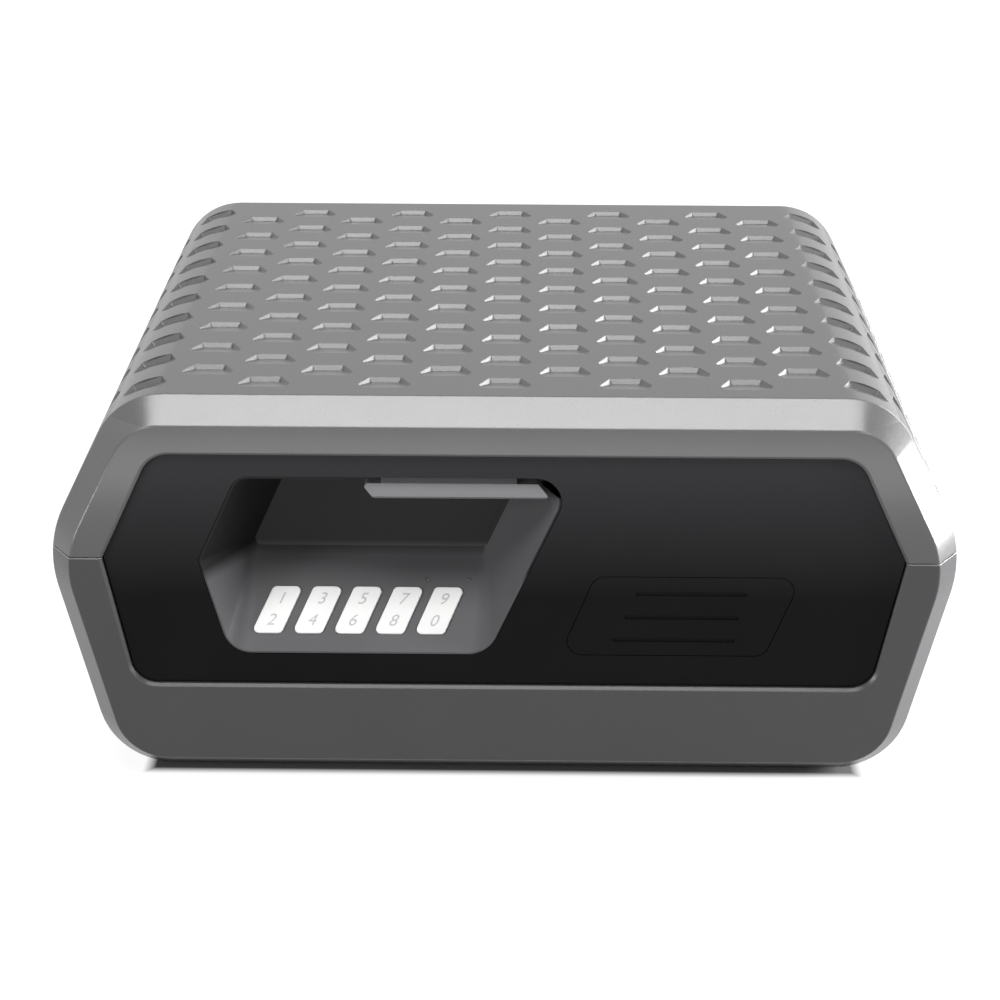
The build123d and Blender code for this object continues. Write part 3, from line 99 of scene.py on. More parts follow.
def pigment(tree, pattern, first, second, levels=NOISE_LEVELS):
    """Goes from one colour, a hex value or a socket, to another as a pattern rises between two levels."""
    share = add(
        tree, "MapRange", {"Value": pattern, "From Min": levels[0], "From Max": levels[1]}
    ).outputs[0]
    ends = [linear(end) if isinstance(end, str) else end for end in (first, second)]
    return add(tree, "Mix", {0: share, 6: ends[0], 7: ends[1]}, data_type="RGBA").outputs[2]


def relief(tree, height, depth_mm, edge_mm, crown=None):
    """Fine relief on edges that look rounded by a radius. A crown is a large soft height, in metres."""
    rounded = add(tree, "Bevel", {"Radius": edge_mm * MM}, samples=4).outputs[0]
    if crown:
        rounded = add(tree, "Bump", {"Height": crown, "Distance": 1.0, "Normal": rounded}).outputs[0]
    return add(
        tree, "Bump", {"Height": height, "Distance": depth_mm * MM, "Strength": 1.0, "Normal": rounded}
    ).outputs[0]


def drafted(tree, place, start, end, reach_mm, power):
    """A crown that shades upright walls as if they fell back by a reach between two levels of z."""
    level = add(tree, "SeparateXYZ", {0: place}).outputs[2]
    rise = add(tree, "MapRange", {"Value": level, "From Min": start, "From Max": end}).outputs[0]
    bent = add(tree, "Math", {0: rise, 1: power}, operation="POWER").outputs[0]
    return add(tree, "Math", {0: bent, 1: -reach_mm * MM}, operation="MULTIPLY").outputs[0]


def feed(tree, shader, colour, sheen, roughness, normal, levels=NOISE_LEVELS):
    """Gives the shader its colour, its normal and a roughness that goes between two values with a pattern."""
    rough = add(tree, "MapRange", {
        "Value": sheen, "From Min": levels[0], "From Max": levels[1],
        "To Min": roughness[0], "To Max": roughness[1],
    }).outputs[0]
    for name, socket in (("Base Color", colour), ("Roughness", rough), ("Normal", normal)):
        tree.links.new(socket, shader.inputs[name])


# Ways of making a surface. Real grain, films and tool lines are finer than the sizes here, which are drawn
# coarser so that they show in the picture.

CLOUD_MM = 45
CLOUD_LEVELS = (0.75, 1.25)
# The x of a normal at which a face counts as looking left, wholly and not at all
LEFT_FACING = (-0.45, -0.2)


def moulded(
    name, dark, pale, roughness, grain_mm, depth_mm, edge_mm=0.4, ior=1.5, specular=0.5, draft=None,
    fade=None, spare_left_facing=False,
):
    """Injection moulded plastic: the mould's eroded grain turns hard reflections into a soft sheen.

    Its pigment lies in faint clouds. A draft, with its start, end, reach and power, leans the walls' shading
    back. A fade, with its start, end and colour, paints light or shade: it leads to another colour as z goes
    from start to end, and can spare the faces that look left.
    """
    material, tree, shader, place = start_finish(name, ior)
    shader.inputs["Specular IOR Level"].default_value = specular
    crown = drafted(tree, place, *draft) if draft else None
    cloud = speckle(tree, place, CLOUD_MM, detail=3)
    grain = speckle(tree, place, grain_mm, detail=3)
    both = add(tree, "Math", {0: cloud, 1: grain}, operation="ADD").outputs[0]
    colour = pigment(tree, both, dark, pale, CLOUD_LEVELS)
    if fade:
        start, end, far_colour = fade
        level = add(tree, "SeparateXYZ", {0: place}).outputs[2]
        faded = add(tree, "MapRange", {"Value": level, "From Min": start, "From Max": end}).outputs[0]
        if spare_left_facing:
            side = add(tree, "SeparateXYZ", {0: add(tree, "NewGeometry", {}).outputs["Normal"]}).outputs[0]
            turned = add(
                tree, "MapRange", {"Value": side, "From Min": LEFT_FACING[0], "From Max": LEFT_FACING[1]}
            ).outputs[0]
            faded = add(tree, "Math", {0: faded, 1: turned}, operation="MULTIPLY").outputs[0]
        colour = pigment(tree, faded, colour, far_colour, WHOLE_LEVELS)
    feed(tree, shader, colour, grain, roughness, relief(tree, grain, depth_mm, edge_mm, crown))
    return material


def rubber(name, dark, pale, roughness):
    """Moulded rubber: near black and dull, with a dusty bloom in soft patches."""
    material, tree, shader, place = start_finish(name, ior=1.52)
    bloom = speckle(tree, place, size_mm=9, detail=4)
    skin = speckle(tree, place, size_mm=0.8)
    feed(
        tree, shader, pigment(tree, bloom, dark, pale), bloom, roughness,
        relief(tree, skin, depth_mm=0.03, edge_mm=0.3),
    )
    return material


CRYSTAL_MM = 2.6


def plated(name, dark, pale, roughness):
    """Zinc plated steel: blue-grey patches a few millimetres wide, each with its own sheen."""
    material, tree, shader, place = start_finish(name, ior=1.5, metallic=1.0)
    crystals = add(tree, "TexVoronoi", {"Vector": place, "Scale": 1 / (CRYSTAL_MM * MM)}).outputs["Color"]
    tone = add(tree, "SeparateColor", {0: crystals}).outputs[0]
    film = speckle(tree, place, size_mm=0.6)
    feed(
        tree, shader, pigment(tree, tone, dark, pale, WHOLE_LEVELS), tone, roughness,
        relief(tree, film, depth_mm=0.006, edge_mm=0.25), WHOLE_LEVELS,
    )
    return material


def drawn(name, dark, pale, roughness, stretch):
    """Drawn, ground or stamped steel: fine lines along the work, which draw the highlights out across it."""
    material, tree, shader, place = start_finish(name, ior=1.5, metallic=1.0)
    lines = speckle(tree, place, size_mm=0.5, detail=3, stretch=stretch)
    feed(
        tree, shader, pigment(tree, lines, dark, pale), lines, roughness,
        relief(tree, lines, depth_mm=0.012, edge_mm=0.2),
    )
    return material


def coated(name, dark, pale, roughness):
    """Powder coated steel: a soft orange peel over sheet metal."""
    material, tree, shader, place = start_finish(name, ior=1.52)
    peel = speckle(tree, place, size_mm=1.1)
    feed(
        tree, shader, pigment(tree, peel, dark, pale), peel, roughness,
        relief(tree, peel, depth_mm=0.03, edge_mm=0.4),
    )
    return material


PORE_MM = 2.2
# A pore's floor and rim, as distances from its centre in pore widths
PORE_WALL = (0.05, 0.35)


def cast_fill(name, dark, pale):
    """Cast cement fill: pale and chalky, with open pores a millimetre or two wide. Its tone differs at
    random, and painted shade darkens the pores' floors.
    """
    material, tree, shader, place = start_finish(name, ior=1.52)
    pores = add(tree, "TexVoronoi", {"Vector": place, "Scale": 1 / (PORE_MM * MM)}).outputs["Distance"]
    wall = add(
        tree, "MapRange", {"Value": pores, "From Min": PORE_WALL[0], "From Max": PORE_WALL[1]}
    ).outputs[0]
    chalk = speckle(tree, place, size_mm=6, detail=5)
    # Painted shade: the colour follows this height, so the pores' floors come out darker
    height = add(tree, "Math", {0: wall, 1: chalk}, operation="ADD").outputs[0]
    feed(
        tree, shader, pigment(tree, height, dark, pale, levels=(0.6, 1.6)), chalk, (0.8, 0.95),
        relief(tree, height, depth_mm=0.25, edge_mm=0.6),
    )
    return material


TRACK_PATCH_MM = 40


def masked_board(name, bare, over_track):
    """Green solder mask over laminate: the copper tracks under it show as slightly raised bands."""
    material, tree, shader, place = start_finish(name, ior=1.55)
    white, black = (1, 1, 1, 1), (0, 0, 0, 1)
    tracks = add(tree, "TexBrick", {
        "Vector": place, "Scale": 1 / (TRACK_PATCH_MM * MM), "Color1": white, "Color2": white,
        "Mortar": black, "Mortar Size": 0.012, "Brick Width": 0.13, "Row Height": 0.06,
    }).outputs["Fac"]
    feed(
        tree, shader, pigment(tree, tracks, bare, over_track, WHOLE_LEVELS), tracks, (0.32, 0.4),
        relief(tree, tracks, depth_mm=0.04, edge_mm=0.2), WHOLE_LEVELS,
    )
    return material


def wrapped_cell(name, nickel, sleeve, band, end_mm, band_mm):
    """Shrink wrapped cells: a glossy printed sleeve with a coloured band, between bare nickel ends."""
    material, tree, shader, place = start_finish(name, ior=1.5)
    low, high = (corner.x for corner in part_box("battery_cells"))
    along = add(tree, "SeparateXYZ", {0: place}).outputs[0]
    after_start = add(tree, "Math", {0: along, 1: low + end_mm * MM}, operation="GREATER_THAN").outputs[0]
    before_end = add(tree, "Math", {0: along, 1: high - end_mm * MM}, operation="LESS_THAN").outputs[0]
    in_band = add(
        tree, "Math", {0: along, 1: high - (end_mm + band_mm) * MM}, operation="GREATER_THAN"
    ).outputs[0]
    covered = add(tree, "Math", {0: after_start, 1: before_end}, operation="MULTIPLY").outputs[0]
    bare = add(tree, "Math", {0: 1.0, 1: covered}, operation="SUBTRACT").outputs[0]
    tree.links.new(bare, shader.inputs["Metallic"])
    printed = pigment(tree, in_band, sleeve, band, WHOLE_LEVELS)
    colour = pigment(tree, covered, nickel, printed, WHOLE_LEVELS)
    film = speckle(tree, place, size_mm=3)
    feed(tree, shader, colour, film, (0.22, 0.34), relief(tree, film, depth_mm=0.02, edge_mm=0.3))
    return material


def silicone(name, dark, pale):
    """Moulded silicone: milky, soft and slightly see-through."""
    material, tree, shader, place = start_finish(name, ior=1.41)
    shader.inputs["Subsurface Weight"].default_value = 0.3
    shader.inputs["Subsurface Scale"].default_value = 0.8 * MM
    haze = speckle(tree, place, size_mm=3)
    feed(
        tree, shader, pigment(tree, haze, dark, pale), haze, (0.5, 0.62),
        relief(tree, haze, depth_mm=0.02, edge_mm=0.3),
    )
    return material


# Levels of z between which a colour or the shading changes

# The lid's upper bevel starts this far below its top, and the keys' slope ends this far above the keys.
BEVEL_DROP = 11 * MM
SLOPE_PAST_KEYS = 11 * MM

lid_low, lid_high = (corner.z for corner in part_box("lid_shell"))
base_low, base_high = (corner.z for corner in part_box("base_shell"))
panel_low, panel_high = (corner.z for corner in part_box("front_panel"))
slope_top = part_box("key_1")[1].z + SLOPE_PAST_KEYS
lid_wall = (lid_low, lid_high - BEVEL_DROP)
# Painted shade: the lid's flats turn darker between these levels
painted_flats_shade = (lid_high - 0.45 * MM, lid_high - 0.1 * MM)
base_wall = (base_high, base_low)
# Painted highlight: the base's rim turns pale between these levels
painted_rim_highlight = (base_high - 0.6 * MM, base_high - 0.3 * MM)
# Painted sheen: the panel grows paler between these levels
painted_panel_sheen = (panel_low + 45 * MM, panel_high)
# Painted shade: the recess turns nearly black between these levels, except on faces that look left
painted_recess_shade = (slope_top + 0.5 * MM, slope_top + 7 * MM)


# Finishes, by the record's material slots. The shells' greys are written darker than they show, because the
# white surroundings lighten them in reflections.

finishes = {
    # Polypropylene, grained: even dark grey, with a painted highlight, a pale line along the rim's edge
    "grey_plastic": moulded(
        "polypropylene_grained_grey", "#38383a", "#3c3c3e", (0.28, 0.34), grain_mm=0.7, depth_mm=0.026,
        edge_mm=0.6, draft=(*base_wall, 3.0, 1), fade=(*painted_rim_highlight, "#8c8c8d"),
    ),
    # Polypropylene from a polished mould: a quiet satin inside the chest
    "liner_plastic": moulded(
        "polypropylene_satin_liner", "#8b8b8c", "#939394", (0.42, 0.52), grain_mm=0.9, depth_mm=0.02,
        edge_mm=0.8,
    ),
    # ABS, fine satin: near black, with a painted sheen that makes it paler towards the top
    "panel_plastic": moulded(
        "abs_satin_black", "#0d0d0e", "#121213", (0.42, 0.5), grain_mm=0.5, depth_mm=0.008, edge_mm=0.2,
        ior=1.53, specular=0.06, fade=(*painted_panel_sheen, "#3d3d3f"),
    ),
    # ABS, fine satin: dark grey on the keys' slope and the right wall, with painted shade that makes it
    # nearly black above the slope
    "bowl_plastic": moulded(
        "abs_satin_dark_grey", "#58585a", "#5e5e60", (0.42, 0.5), grain_mm=0.5, depth_mm=0.01, edge_mm=0.3,
        ior=1.53, specular=0.2, fade=(*painted_recess_shade, "#141415"), spare_left_facing=True,
    ),
    # Nylon, moulded matte: black and dry
    "housing_plastic": moulded(
        "nylon_matte_black", "#242425", "#2b2b2c", (0.5, 0.62), grain_mm=0.8, depth_mm=0.02
    ),
    # ABS, satin: a mid grey with soft highlights along the lever's edges
    "lever_plastic": moulded(
        "abs_satin_lever", "#737375", "#7a7a7c", (0.36, 0.44), grain_mm=0.5, depth_mm=0.01, edge_mm=0.5,
        ior=1.53,
    ),
    # ABS from a polished mould: bright white, with smooth highlights
    "key_plastic": moulded(
        "abs_bright_white", "#f1f1f0", "#f6f6f5", (0.3, 0.38), grain_mm=0.4, depth_mm=0.006, edge_mm=0.5,
        ior=1.53,
    ),
    # Pad printing: a thin matte grey ink
    "key_print": moulded(
        "pad_print_pale_grey", "#c2c2c3", "#cacacb", (0.5, 0.6), grain_mm=0.3, depth_mm=0.004, edge_mm=0.05
    ),
    # Polycarbonate, smoked: dark and glossy
    "light_lens": moulded(
        "polycarbonate_smoked", "#2c2c2e", "#333335", (0.12, 0.18), grain_mm=0.6, depth_mm=0.004, edge_mm=0.2,
        ior=1.58,
    ),
    # Cement, cast: chalky and porous
    "insulation": cast_fill("cement_fill_cast", "#a8a296", "#c4beb0"),
    # Silicone rubber: black with a little bloom
    "seal_rubber": rubber("silicone_seal_black", "#202021", "#2c2c2d", (0.62, 0.77)),
    # Natural rubber: black and dusty
    "foot_rubber": rubber("rubber_foot_black", "#1b1b1b", "#282828", (0.7, 0.85)),
    # Sheet steel, powder coated: black with an orange peel
    "hinge_steel": coated("steel_powder_coated_black", "#232324", "#2c2c2d", (0.42, 0.55)),
    # Sheet steel, lacquered: grey with an orange peel
    "solenoid_steel": coated("steel_lacquered_grey", "#58585b", "#626265", (0.32, 0.45)),
    # Steel, ground along x: bright, with lines along the pin
    "pin_steel": drawn("steel_ground_pin", "#a3a3a5", "#c2c2c4", (0.22, 0.38), (0.04, 1, 1)),
    # Steel, plated: pale grey rivets with soft patches
    "rivet_steel": plated("steel_plated_rivet", "#98989b", "#b4b4b7", (0.3, 0.42)),
    # Steel, zinc plated: bright blue-grey screws
    "screw_steel": plated("steel_zinc_screw", "#a5a7aa", "#c0c2c5", (0.26, 0.4)),
    # Sheet steel, zinc plated: blue-grey with soft patches
    "bracket_steel": plated("steel_zinc_sheet", "#9a9da0", "#b9bcbf", (0.3, 0.45)),
    # Steel, ground along x: the brightest piece of the lock
    "plunger_steel": drawn("steel_ground_plunger", "#aeaeb0", "#c9c9cb", (0.18, 0.3), (0.05, 1, 1)),
    # Spring steel, nickel plated: warm and bright, with lines along z
    "contact_steel": drawn("nickel_plated_contact", "#b2b0aa", "#cfcdc7", (0.18, 0.3), (1, 1, 0.1)),
    # Steel bar, drawn along x: lines along the shaft
    "shaft_steel": drawn("steel_drawn_shaft", "#9c9c9e", "#b8b8ba", (0.25, 0.4), (0.03, 1, 1)),
    # Sheet steel, stamped: greyer, with the sheet's lines along z
    "hook_steel": drawn("steel_stamped_hook", "#8e8e91", "#ababae", (0.3, 0.48), (1, 0.3, 0.08)),
    # Spring wire, oiled: dark grey, with specks instead of lines
    "spring_steel": drawn("steel_oiled_spring", "#6f7073", "#9a9b9e", (0.25, 0.38), (1, 1, 1)),
    # Silicone, moulded: the milky mat under the keys
    "mat_silicone": silicone("silicone_key_mat", "#b9b9b6", "#cfcfcb"),
    # Glass laminate under solder mask: green, with raised tracks
    "board": masked_board("laminate_solder_mask", "#1d5a37", "#2f7a4c"),
    # Printed shrink wrap over nickel: glossy and dark, with a copper coloured band
    "cell_wrap": wrapped_cell("cell_shrink_wrap", "#c9c9c6", "#2b2c2f", "#b4763a", end_mm=3, band_mm=13),
}
# The lid is moulded like the base, in a paler grey that is painted light. Its walls are shaded as if they
# fell back, and painted shade darkens its flats.
lid_finish = moulded(
    "polypropylene_grained_lid", "#454546", "#49494a", (0.27, 0.33), grain_mm=0.7, depth_mm=0.024,
    edge_mm=0.6, specular=0.8, draft=(*lid_wall, 12.0, 2), fade=(*painted_flats_shade, "#3a3a3b"),
)

slot_of = {row["node"]: row["material_slot"] for row in frame["record"]["subparts"]}
for name, piece in frame["nodes"].items():
    piece.data.materials.clear()
    piece.data.materials.append(lid_finish if name == "lid_shell" else finishes[slot_of[name]])


# New pieces

# Points closer than these are one point, in a new piece and in a CAD mesh
NEW_POINTS_MERGE = 0.001 * MM
CAD_POINTS_MERGE = 0.002 * MM
# Points within this distance of a face or a level lie on it
ON_LEVEL = 0.05 * MM


def make_piece(name, form, slot, body, smooth_degrees=35):
    """Turns a bmesh into a piece in its finish that rides on a body."""
    bmesh.ops.remove_doubles(form, verts=form.verts, dist=NEW_POINTS_MERGE)
    bmesh.ops.recalc_face_normals(form, faces=form.faces)
    mesh = bpy.data.meshes.new(name)
    form.to_mesh(mesh)
    form.free()
    mesh.materials.append(finishes[slot])
    mesh.shade_smooth()
    mesh.set_sharp_from_angle(angle=math.radians(smooth_degrees))
    piece = bpy.data.objects.new(name, mesh)
    bpy.context.scene.collection.objects.link(piece)
    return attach(piece, body)


def islands(node):
    """The separate solids of a CAD node in a steady order, each as a list of its points."""
    form = bmesh.new()
    form.from_mesh(frame["nodes"][node].data)
    bmesh.ops.remove_doubles(form, verts=form.verts, dist=CAD_POINTS_MERGE)
    left = set(form.verts)
    groups = []
    while left:
        reached = [left.pop()]
        for point in reached:
            for edge in point.link_edges:
                other = edge.other_vert(point)
                if other in left:
                    left.remove(other)
                    reached.append(other)
        groups.append([point.co.copy() for point in reached])
    form.free()
    return sorted(groups, key=lambda group: tuple(round(c, 4) for c in min(group, key=lambda p: tuple(p))))


# Screws

SCREW_STEPS = 32
# A level with a smaller radius than this is the tip of a screw's point
THINNEST_SHANK = 0.1 * MM
# The head's outline from its middle outwards and down, in shares of its radius and its height
HEAD_CURVE = ((0, 0), (0.55, 0.04), (0.86, 0.22), (1, 0.6), (1, 1))
# The point's length and width, in shares of the shank's radius
POINT_LENGTH, POINT_WIDTH = 0.4, 0.6
# The cross recess, in shares of the head's radius and height
CROSS_HALF_WIDTH, CROSS_REACH, CROSS_DEPTH = 0.11, 0.58, 0.5
# How far past the cross's edge a face of it may have its middle, and how far down the head
CROSS_SLACK, CROSS_FACES = 0.002, 0.3
# Each screw stopped at its own angle, in radians, worked out from its place across the chest
FIRST_TURN, TURN_PER_METRE = 0.4, 26


def screw_of(points):
    """A screw's axis, head centre, head radius and height, length and shank radius, from its solid."""
    low = Vector([min(p[i] for p in points) for i in range(3)])
    high = Vector([max(p[i] for p in points) for i in range(3)])
    size, middle = high - low, (high + low) / 2
    spans = [abs(size[(i + 1) % 3] - size[(i + 2) % 3]) for i in range(3)]
    along = spans.index(min(spans))
    head_radius = max(size[(along + 1) % 3], size[(along + 2) % 3]) / 2

    def radius_at(level):
        """The screw's radius at a level along its axis."""
        from_middle = [p - middle for p in points if abs(p[along] - level) < ON_LEVEL]
        across = [Vector([0 if i == along else p[i] for i in range(3)]) for p in from_middle]
        return max(p.length for p in across)

    head_high = radius_at(high[along]) > radius_at(low[along])
    levels = sorted({round(p[along], 6) for p in points}, reverse=head_high)
    wide = [level for level in levels if radius_at(level) > head_radius - ON_LEVEL]
    axis = Vector([0, 0, 0])
    axis[along] = 1 if head_high else -1
    top = middle.copy()
    top[along] = high[along] if head_high else low[along]
    shank = min(radius for radius in map(radius_at, levels) if radius > THINNEST_SHANK)
    return axis, top, head_radius, abs(wide[0] - wide[-1]), size[along], shank


def cut(form, normal, distance):
    """Cuts the faces of a form along a plane at a distance from the z axis."""
    bmesh.ops.bisect_plane(
        form, geom=form.verts[:] + form.edges[:] + form.faces[:], plane_co=normal * distance, plane_no=normal
    )


def cross_screw(radius, head, length, shank):
    """A pan head screw with a cross recess, with its head's top at the origin and its point down."""
    outline = [(radius * across, -head * down) for across, down in HEAD_CURVE] + [
        (shank, -head), (shank, -length + shank * POINT_LENGTH), (shank * POINT_WIDTH, -length), (0, -length),
    ]
    form = bmesh.new()
    points = [form.verts.new((across, 0, height)) for across, height in outline]
    edges = [form.edges.new(pair) for pair in zip(points, points[1:])]
    bmesh.ops.spin(
        form, geom=points + edges, cent=(0, 0, 0), axis=(0, 0, 1), angle=math.tau, steps=SCREW_STEPS,
        use_merge=True,
    )
    for normal in (Vector((0, -1, 0)), Vector((0, 1, 0)), Vector((1, 0, 0)), Vector((-1, 0, 0))):
        cut(form, normal, radius * CROSS_HALF_WIDTH)
    for normal in (Vector((1, 0, 0)), Vector((0, 1, 0)), Vector((-1, 0, 0)), Vector((0, -1, 0))):
        cut(form, normal, radius * CROSS_REACH)
    half_width = radius * (CROSS_HALF_WIDTH + CROSS_SLACK)
    recess = []
    for face in form.faces:
        middle = face.calc_center_median()
        near, far = sorted((abs(middle.x), abs(middle.y)))
        if middle.z > -CROSS_FACES * head and near < half_width and far < radius * CROSS_REACH:
            recess.append(face)
    sunk = bmesh.ops.extrude_face_region(form, geom=recess)["geom"]
    floor_points = [item for item in sunk if isinstance(item, bmesh.types.BMVert)]
    bmesh.ops.translate(form, vec=(0, 0, -CROSS_DEPTH * head), verts=floor_points)
    bmesh.ops.delete(form, geom=[face for face in recess if face.is_valid], context="FACES")
    return form


def cross_screws(node, body, slot):
    """Pan head screws with a cross recess, in place of a node's plain ones."""
    whole = bmesh.new()
    for points in islands(node):
        axis, top, radius, head, length, shank = screw_of(points)
        form = cross_screw(radius, head, length, shank)
        upright = Vector((0, 0, 1)).rotation_difference(axis).to_matrix().to_4x4()
        turn = Matrix.Rotation(FIRST_TURN + TURN_PER_METRE * top.x, 4, "Z")
        bmesh.ops.transform(form, matrix=Matrix.Translation(top) @ upright @ turn, verts=form.verts)
        one = bpy.data.meshes.new("one_screw")
        form.to_mesh(one)
        form.free()
        whole.from_mesh(one)
        bpy.data.meshes.remove(one)
    screws = make_piece(node + "_cross", whole, slot, body)
    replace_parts(screws, node)


# The lever's spring

WIRE_SIDES = 12
COIL_STEPS = 28


def coil_spring(node, body, slot, wire_mm, turns):
    """A wound spring along x in place of the plain sleeve."""
    low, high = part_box(node)
    middle = (low + high) / 2
    wire = wire_mm * MM / 2
    coil = (high.z - low.z) / 2 - wire
    rise = (high.x - low.x - 2 * wire) / (turns * COIL_STEPS)
    form = bmesh.new()
    ring = bmesh.ops.create_circle(form, cap_ends=False, segments=WIRE_SIDES, radius=wire)["verts"]
    bmesh.ops.rotate(form, verts=ring, cent=(0, 0, 0), matrix=Matrix.Rotation(math.pi / 2, 3, "X"))
    bmesh.ops.translate(form, verts=ring, vec=(low.x + wire, middle.y, middle.z + coil))
    first = form.edges[:]
    made = bmesh.ops.spin(
        form, geom=form.verts[:] + form.edges[:], cent=(low.x, middle.y, middle.z), axis=(1, 0, 0),
        dvec=(rise, 0, 0), angle=math.tau * turns, steps=turns * COIL_STEPS,
    )
    last = [item for item in made["geom_last"] if isinstance(item, bmesh.types.BMEdge)]
    for end in (first, last):
        bmesh.ops.contextual_create(form, geom=end)
    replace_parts(make_piece(node + "_wound", form, slot, body, smooth_degrees=50), node)


for node, body in (
    ("housing_screws", "lid"), ("ear_screws", "lid"), ("bracket_screws", "lid"), ("solenoid_screws", "lid"),
    ("keeper_screws", "base"),
):
    cross_screws(node, body, "screw_steel")
coil_spring("lever_spring", "latch", "spring_steel", wire_mm=1.0, turns=7)


# Numerals on the keys

# The rise and run of the slope that the keys stand on
SLOPE_RISE_MM, SLOPE_RUN_MM = 39.2, 39.0
SLOPE = math.atan2(SLOPE_RISE_MM, SLOPE_RUN_MM)
UP_SLOPE = Vector((0, math.cos(SLOPE), math.sin(SLOPE)))
OFF_SLOPE = Vector((0, -math.sin(SLOPE), math.cos(SLOPE)))
NUMERAL_SIZE = 8.4 * MM
NUMERAL_RISE = 5.6 * MM
NUMERAL_PROUD = 0.03 * MM
# How far a key's sides lean to the right for each step up the slope
KEY_LEAN = 0.40
KEY_LABELS = (("1", "2"), ("3", "4"), ("5", "6"), ("7", "8"), ("9", "0"))


def key_top(node):
    """The middle of a key's upper face."""
    points = [v.co for v in frame["nodes"][node].data.vertices]
    height = max(p.dot(OFF_SLOPE) for p in points)
    face = [p for p in points if p.dot(OFF_SLOPE) > height - ON_LEVEL]
    across = [p.x for p in face]
    up = [p.dot(UP_SLOPE) for p in face]
    side = Vector(((min(across) + max(across)) / 2, 0, 0))
    return side + UP_SLOPE * (min(up) + max(up)) / 2 + OFF_SLOPE * height


def numeral(form, text, matrix):
    """Adds one printed digit, centred on its place."""
    curve = bpy.data.curves.new("digit", "FONT")
    curve.body = text
    curve.size = NUMERAL_SIZE
    curve.extrude = NUMERAL_PROUD
    curve.align_x = "CENTER"
    curve.align_y = "CENTER"
    curve.resolution_u = 5
    holder = bpy.data.objects.new("digit", curve)
    mesh = bpy.data.meshes.new_from_object(holder)
    mesh.transform(matrix)
    form.from_mesh(mesh)
    bpy.data.objects.remove(holder)
    bpy.data.curves.remove(curve)
    bpy.data.meshes.remove(mesh)


lean = Matrix.Identity(4)
lean[0][1] = KEY_LEAN
for number, labels in enumerate(KEY_LABELS, 1):
    on_key = Matrix.Translation(key_top(f"key_{number}")) @ Matrix.Rotation(SLOPE, 4, "X") @ lean
    form = bmesh.new()
    for row, text in zip((1, -1), labels):
        numeral(form, text, on_key @ Matrix.Translation((0, row * NUMERAL_RISE, 0)))
    make_piece(f"numerals_{number}", form, "key_print", f"key_{number}")


# Floor and background

FLOOR_HALF = 6
# The floor's own glow stops at the chest's foot, which paints a dark line there as a shadow, deeper than the
# lamps' own, and is full again far away.
FLOOR_GLOW = 0.92
FOOTPRINT = (0.172, 0.172)
PAINTED_SHADOW_EDGE = 0.006
FAR_START, FAR_END = 0.15, 0.8
WORLD_FILL = 0.07


def seen_directly(tree):
    """1 for what the camera, a reflection or a clear piece sees, 0 for the light that falls on the object."""
    path = add(tree, "LightPath", {})
    seen = path.outputs["Is Camera Ray"]
    for ray in ("Is Glossy Ray", "Is Transmission Ray"):
        seen = add(tree, "Math", {0: seen, 1: path.outputs[ray]}, operation="MAXIMUM").outputs[0]
    return seen


def floor_glow(tree):
    """The strength of the floor's glow: none under the chest, where it paints a shadow, most of it beside it
    and all of it far away.
    """
    place = add(tree, "SeparateXYZ", {0: add(tree, "TexCoord", {}).outputs["Object"]}).outputs
    outside = []
    for axis, half in enumerate(FOOTPRINT):
        from_middle = add(tree, "Math", {0: place[axis]}, operation="ABSOLUTE").outputs[0]
        outside.append(add(tree, "Math", {0: from_middle, 1: half}, operation="SUBTRACT").outputs[0])
    clear = add(tree, "Math", {0: outside[0], 1: outside[1]}, operation="MAXIMUM").outputs[0]
    # Painted shadow: no glow under the chest's footprint, which darkens the floor there more than the lamps'
    # own shadow does
    near = add(tree, "MapRange", {"Value": clear, "From Max": PAINTED_SHADOW_EDGE, "To Max": FLOOR_GLOW}).outputs[0]
    far = add(tree, "MapRange", {
        "Value": clear, "From Min": FAR_START, "From Max": FAR_END, "To Max": 1 - FLOOR_GLOW
    }).outputs[0]
    return add(tree, "Math", {0: near, 1: far}, operation="ADD").outputs[0]


def pale_floor():
    """A matte floor that looks white to the camera and keeps the shadow."""
    form = bmesh.new()
    bmesh.ops.create_grid(form, x_segments=1, y_segments=1, size=FLOOR_HALF)
    mesh = bpy.data.meshes.new("floor")
    form.to_mesh(mesh)
    form.free()
    material = bpy.data.materials.new("floor_matte_white")
    material.use_nodes = True
    tree = material.node_tree
    tree.nodes.remove(tree.nodes["Principled BSDF"])
    matte = add(tree, "BsdfDiffuse", {"Color": linear("#7c7c7c")}).outputs[0]
    glow = add(tree, "Emission", {"Color": linear("#ffffff"), "Strength": floor_glow(tree)}).outputs[0]
    nothing = add(tree, "Emission", {"Color": linear("#000000")}).outputs[0]
    shown = add(tree, "MixShader", {0: seen_directly(tree), 1: nothing, 2: glow}).outputs[0]
    both = add(tree, "AddShader", {0: matte, 1: shown}).outputs[0]
    tree.links.new(both, tree.nodes["Material Output"].inputs[0])
    mesh.materials.append(material)
    floor = bpy.data.objects.new("floor", mesh)
    bpy.context.scene.collection.objects.link(floor)


def surround():
    """A white world to the camera, and an even grey fill to the object."""
    world = bpy.data.worlds.new("surround")
    bpy.context.scene.world = world
    world.use_nodes = True
    tree = world.node_tree
    background = tree.nodes["Background"]
    background.inputs["Color"].default_value = linear("#ffffff")
    level = add(
        tree, "MapRange", {"Value": seen_directly(tree), "To Min": WORLD_FILL, "To Max": 1.0}
    ).outputs[0]
    tree.links.new(level, background.inputs["Strength"])


# Lamps, each with its place, aim, width and height in metres, and its watts

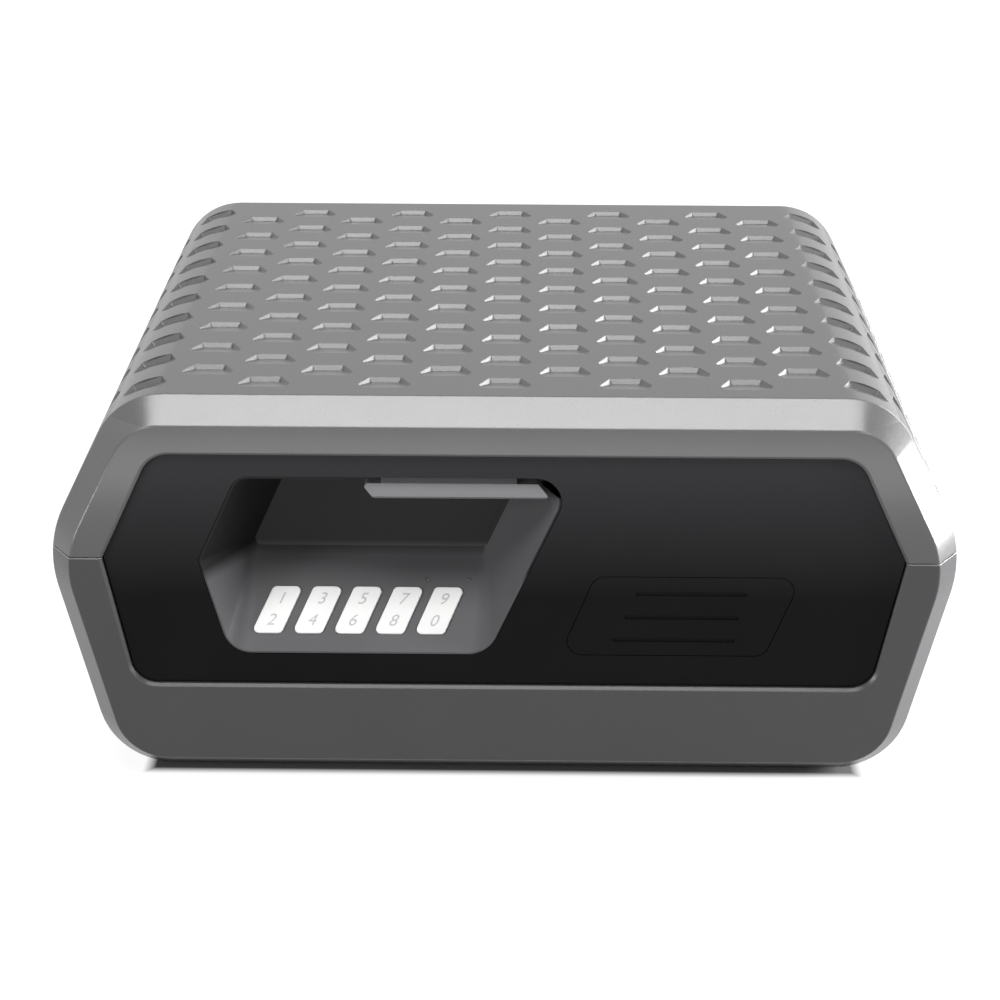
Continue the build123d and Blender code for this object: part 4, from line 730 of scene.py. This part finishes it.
LAMPS = {
    # Straight above the front edge, where the bevel over the ring mirrors it
    "overhead": ((0.0, -0.13, 1.25), (0, -0.15, 0.1), 1.3, 0.2, 11),
    # Mirrored by the pockets' rear walls, and the keys' main light
    "front_high": ((-0.03, -0.62, 1.25), (0, -0.15, 0.1), 0.9, 0.44, 9),
    # Makes the bevels on the right the brightest
    "right_side": ((1.35, 0.08, 0.32), (0, 0.0, 0.17), 1.1, 0.34, 56),
    # Glints on the pockets' slanted walls at their left
    "right_rear": ((0.95, 0.62, 0.6), (0, 0, 0.19), 0.4, 0.4, 5),
    # Fills the recess's right wall and the left bevel
    "left_front": ((-1.3, -0.9, 0.35), (0, -0.18, 0.12), 0.4, 0.4, 7.5),
    # Near the horizon, for the front ring and the panel
    "front_low": ((0.0, -2.2, 0.45), (0, -0.18, 0.15), 1.8, 0.7, 9),
}


def softbox(name, place, aim, width, height, watts):
    """A rectangular lamp that points at its aim."""
    light = bpy.data.lights.new(name, "AREA")
    light.shape = "RECTANGLE"
    light.size = width
    light.size_y = height
    light.energy = watts
    lamp = bpy.data.objects.new(name, light)
    lamp.location = place
    lamp.rotation_euler = (Vector(aim) - Vector(place)).to_track_quat("-Z", "Y").to_euler()
    bpy.context.scene.collection.objects.link(lamp)


# Camera

CAMERA_PLACE = (0.0092, -1.2800, 0.5835)
CAMERA_YAW, CAMERA_PITCH, CAMERA_ROLL = math.radians(0.58), math.radians(21.65), math.radians(-0.22)
LENS_MM, SENSOR_MM = 90.62, 36


def photo_camera():
    """The photograph's viewpoint, above and in front of the chest and looking down at it."""
    right = Vector((math.cos(CAMERA_YAW), math.sin(CAMERA_YAW), 0))
    level_ahead = Vector((-math.sin(CAMERA_YAW), math.cos(CAMERA_YAW), 0))
    forward = level_ahead * math.cos(CAMERA_PITCH) - Vector((0, 0, math.sin(CAMERA_PITCH)))
    up = right.cross(forward)
    tilted_right = right * math.cos(CAMERA_ROLL) - up * math.sin(CAMERA_ROLL)
    tilted_up = right * math.sin(CAMERA_ROLL) + up * math.cos(CAMERA_ROLL)
    data = bpy.data.cameras.new("photo_camera")
    data.sensor_width = SENSOR_MM
    data.lens = LENS_MM
    data.clip_start = 0.05
    camera = bpy.data.objects.new("photo_camera", data)
    axes = Matrix((tilted_right, tilted_up, -forward)).transposed().to_4x4()
    camera.matrix_world = Matrix.Translation(CAMERA_PLACE) @ axes
    bpy.context.scene.collection.objects.link(camera)
    bpy.context.scene.camera = camera


pale_floor()
surround()
for name, lamp_values in LAMPS.items():
    softbox(name, *lamp_values)
photo_camera()
bpy.context.scene.view_settings.view_transform = "Standard"
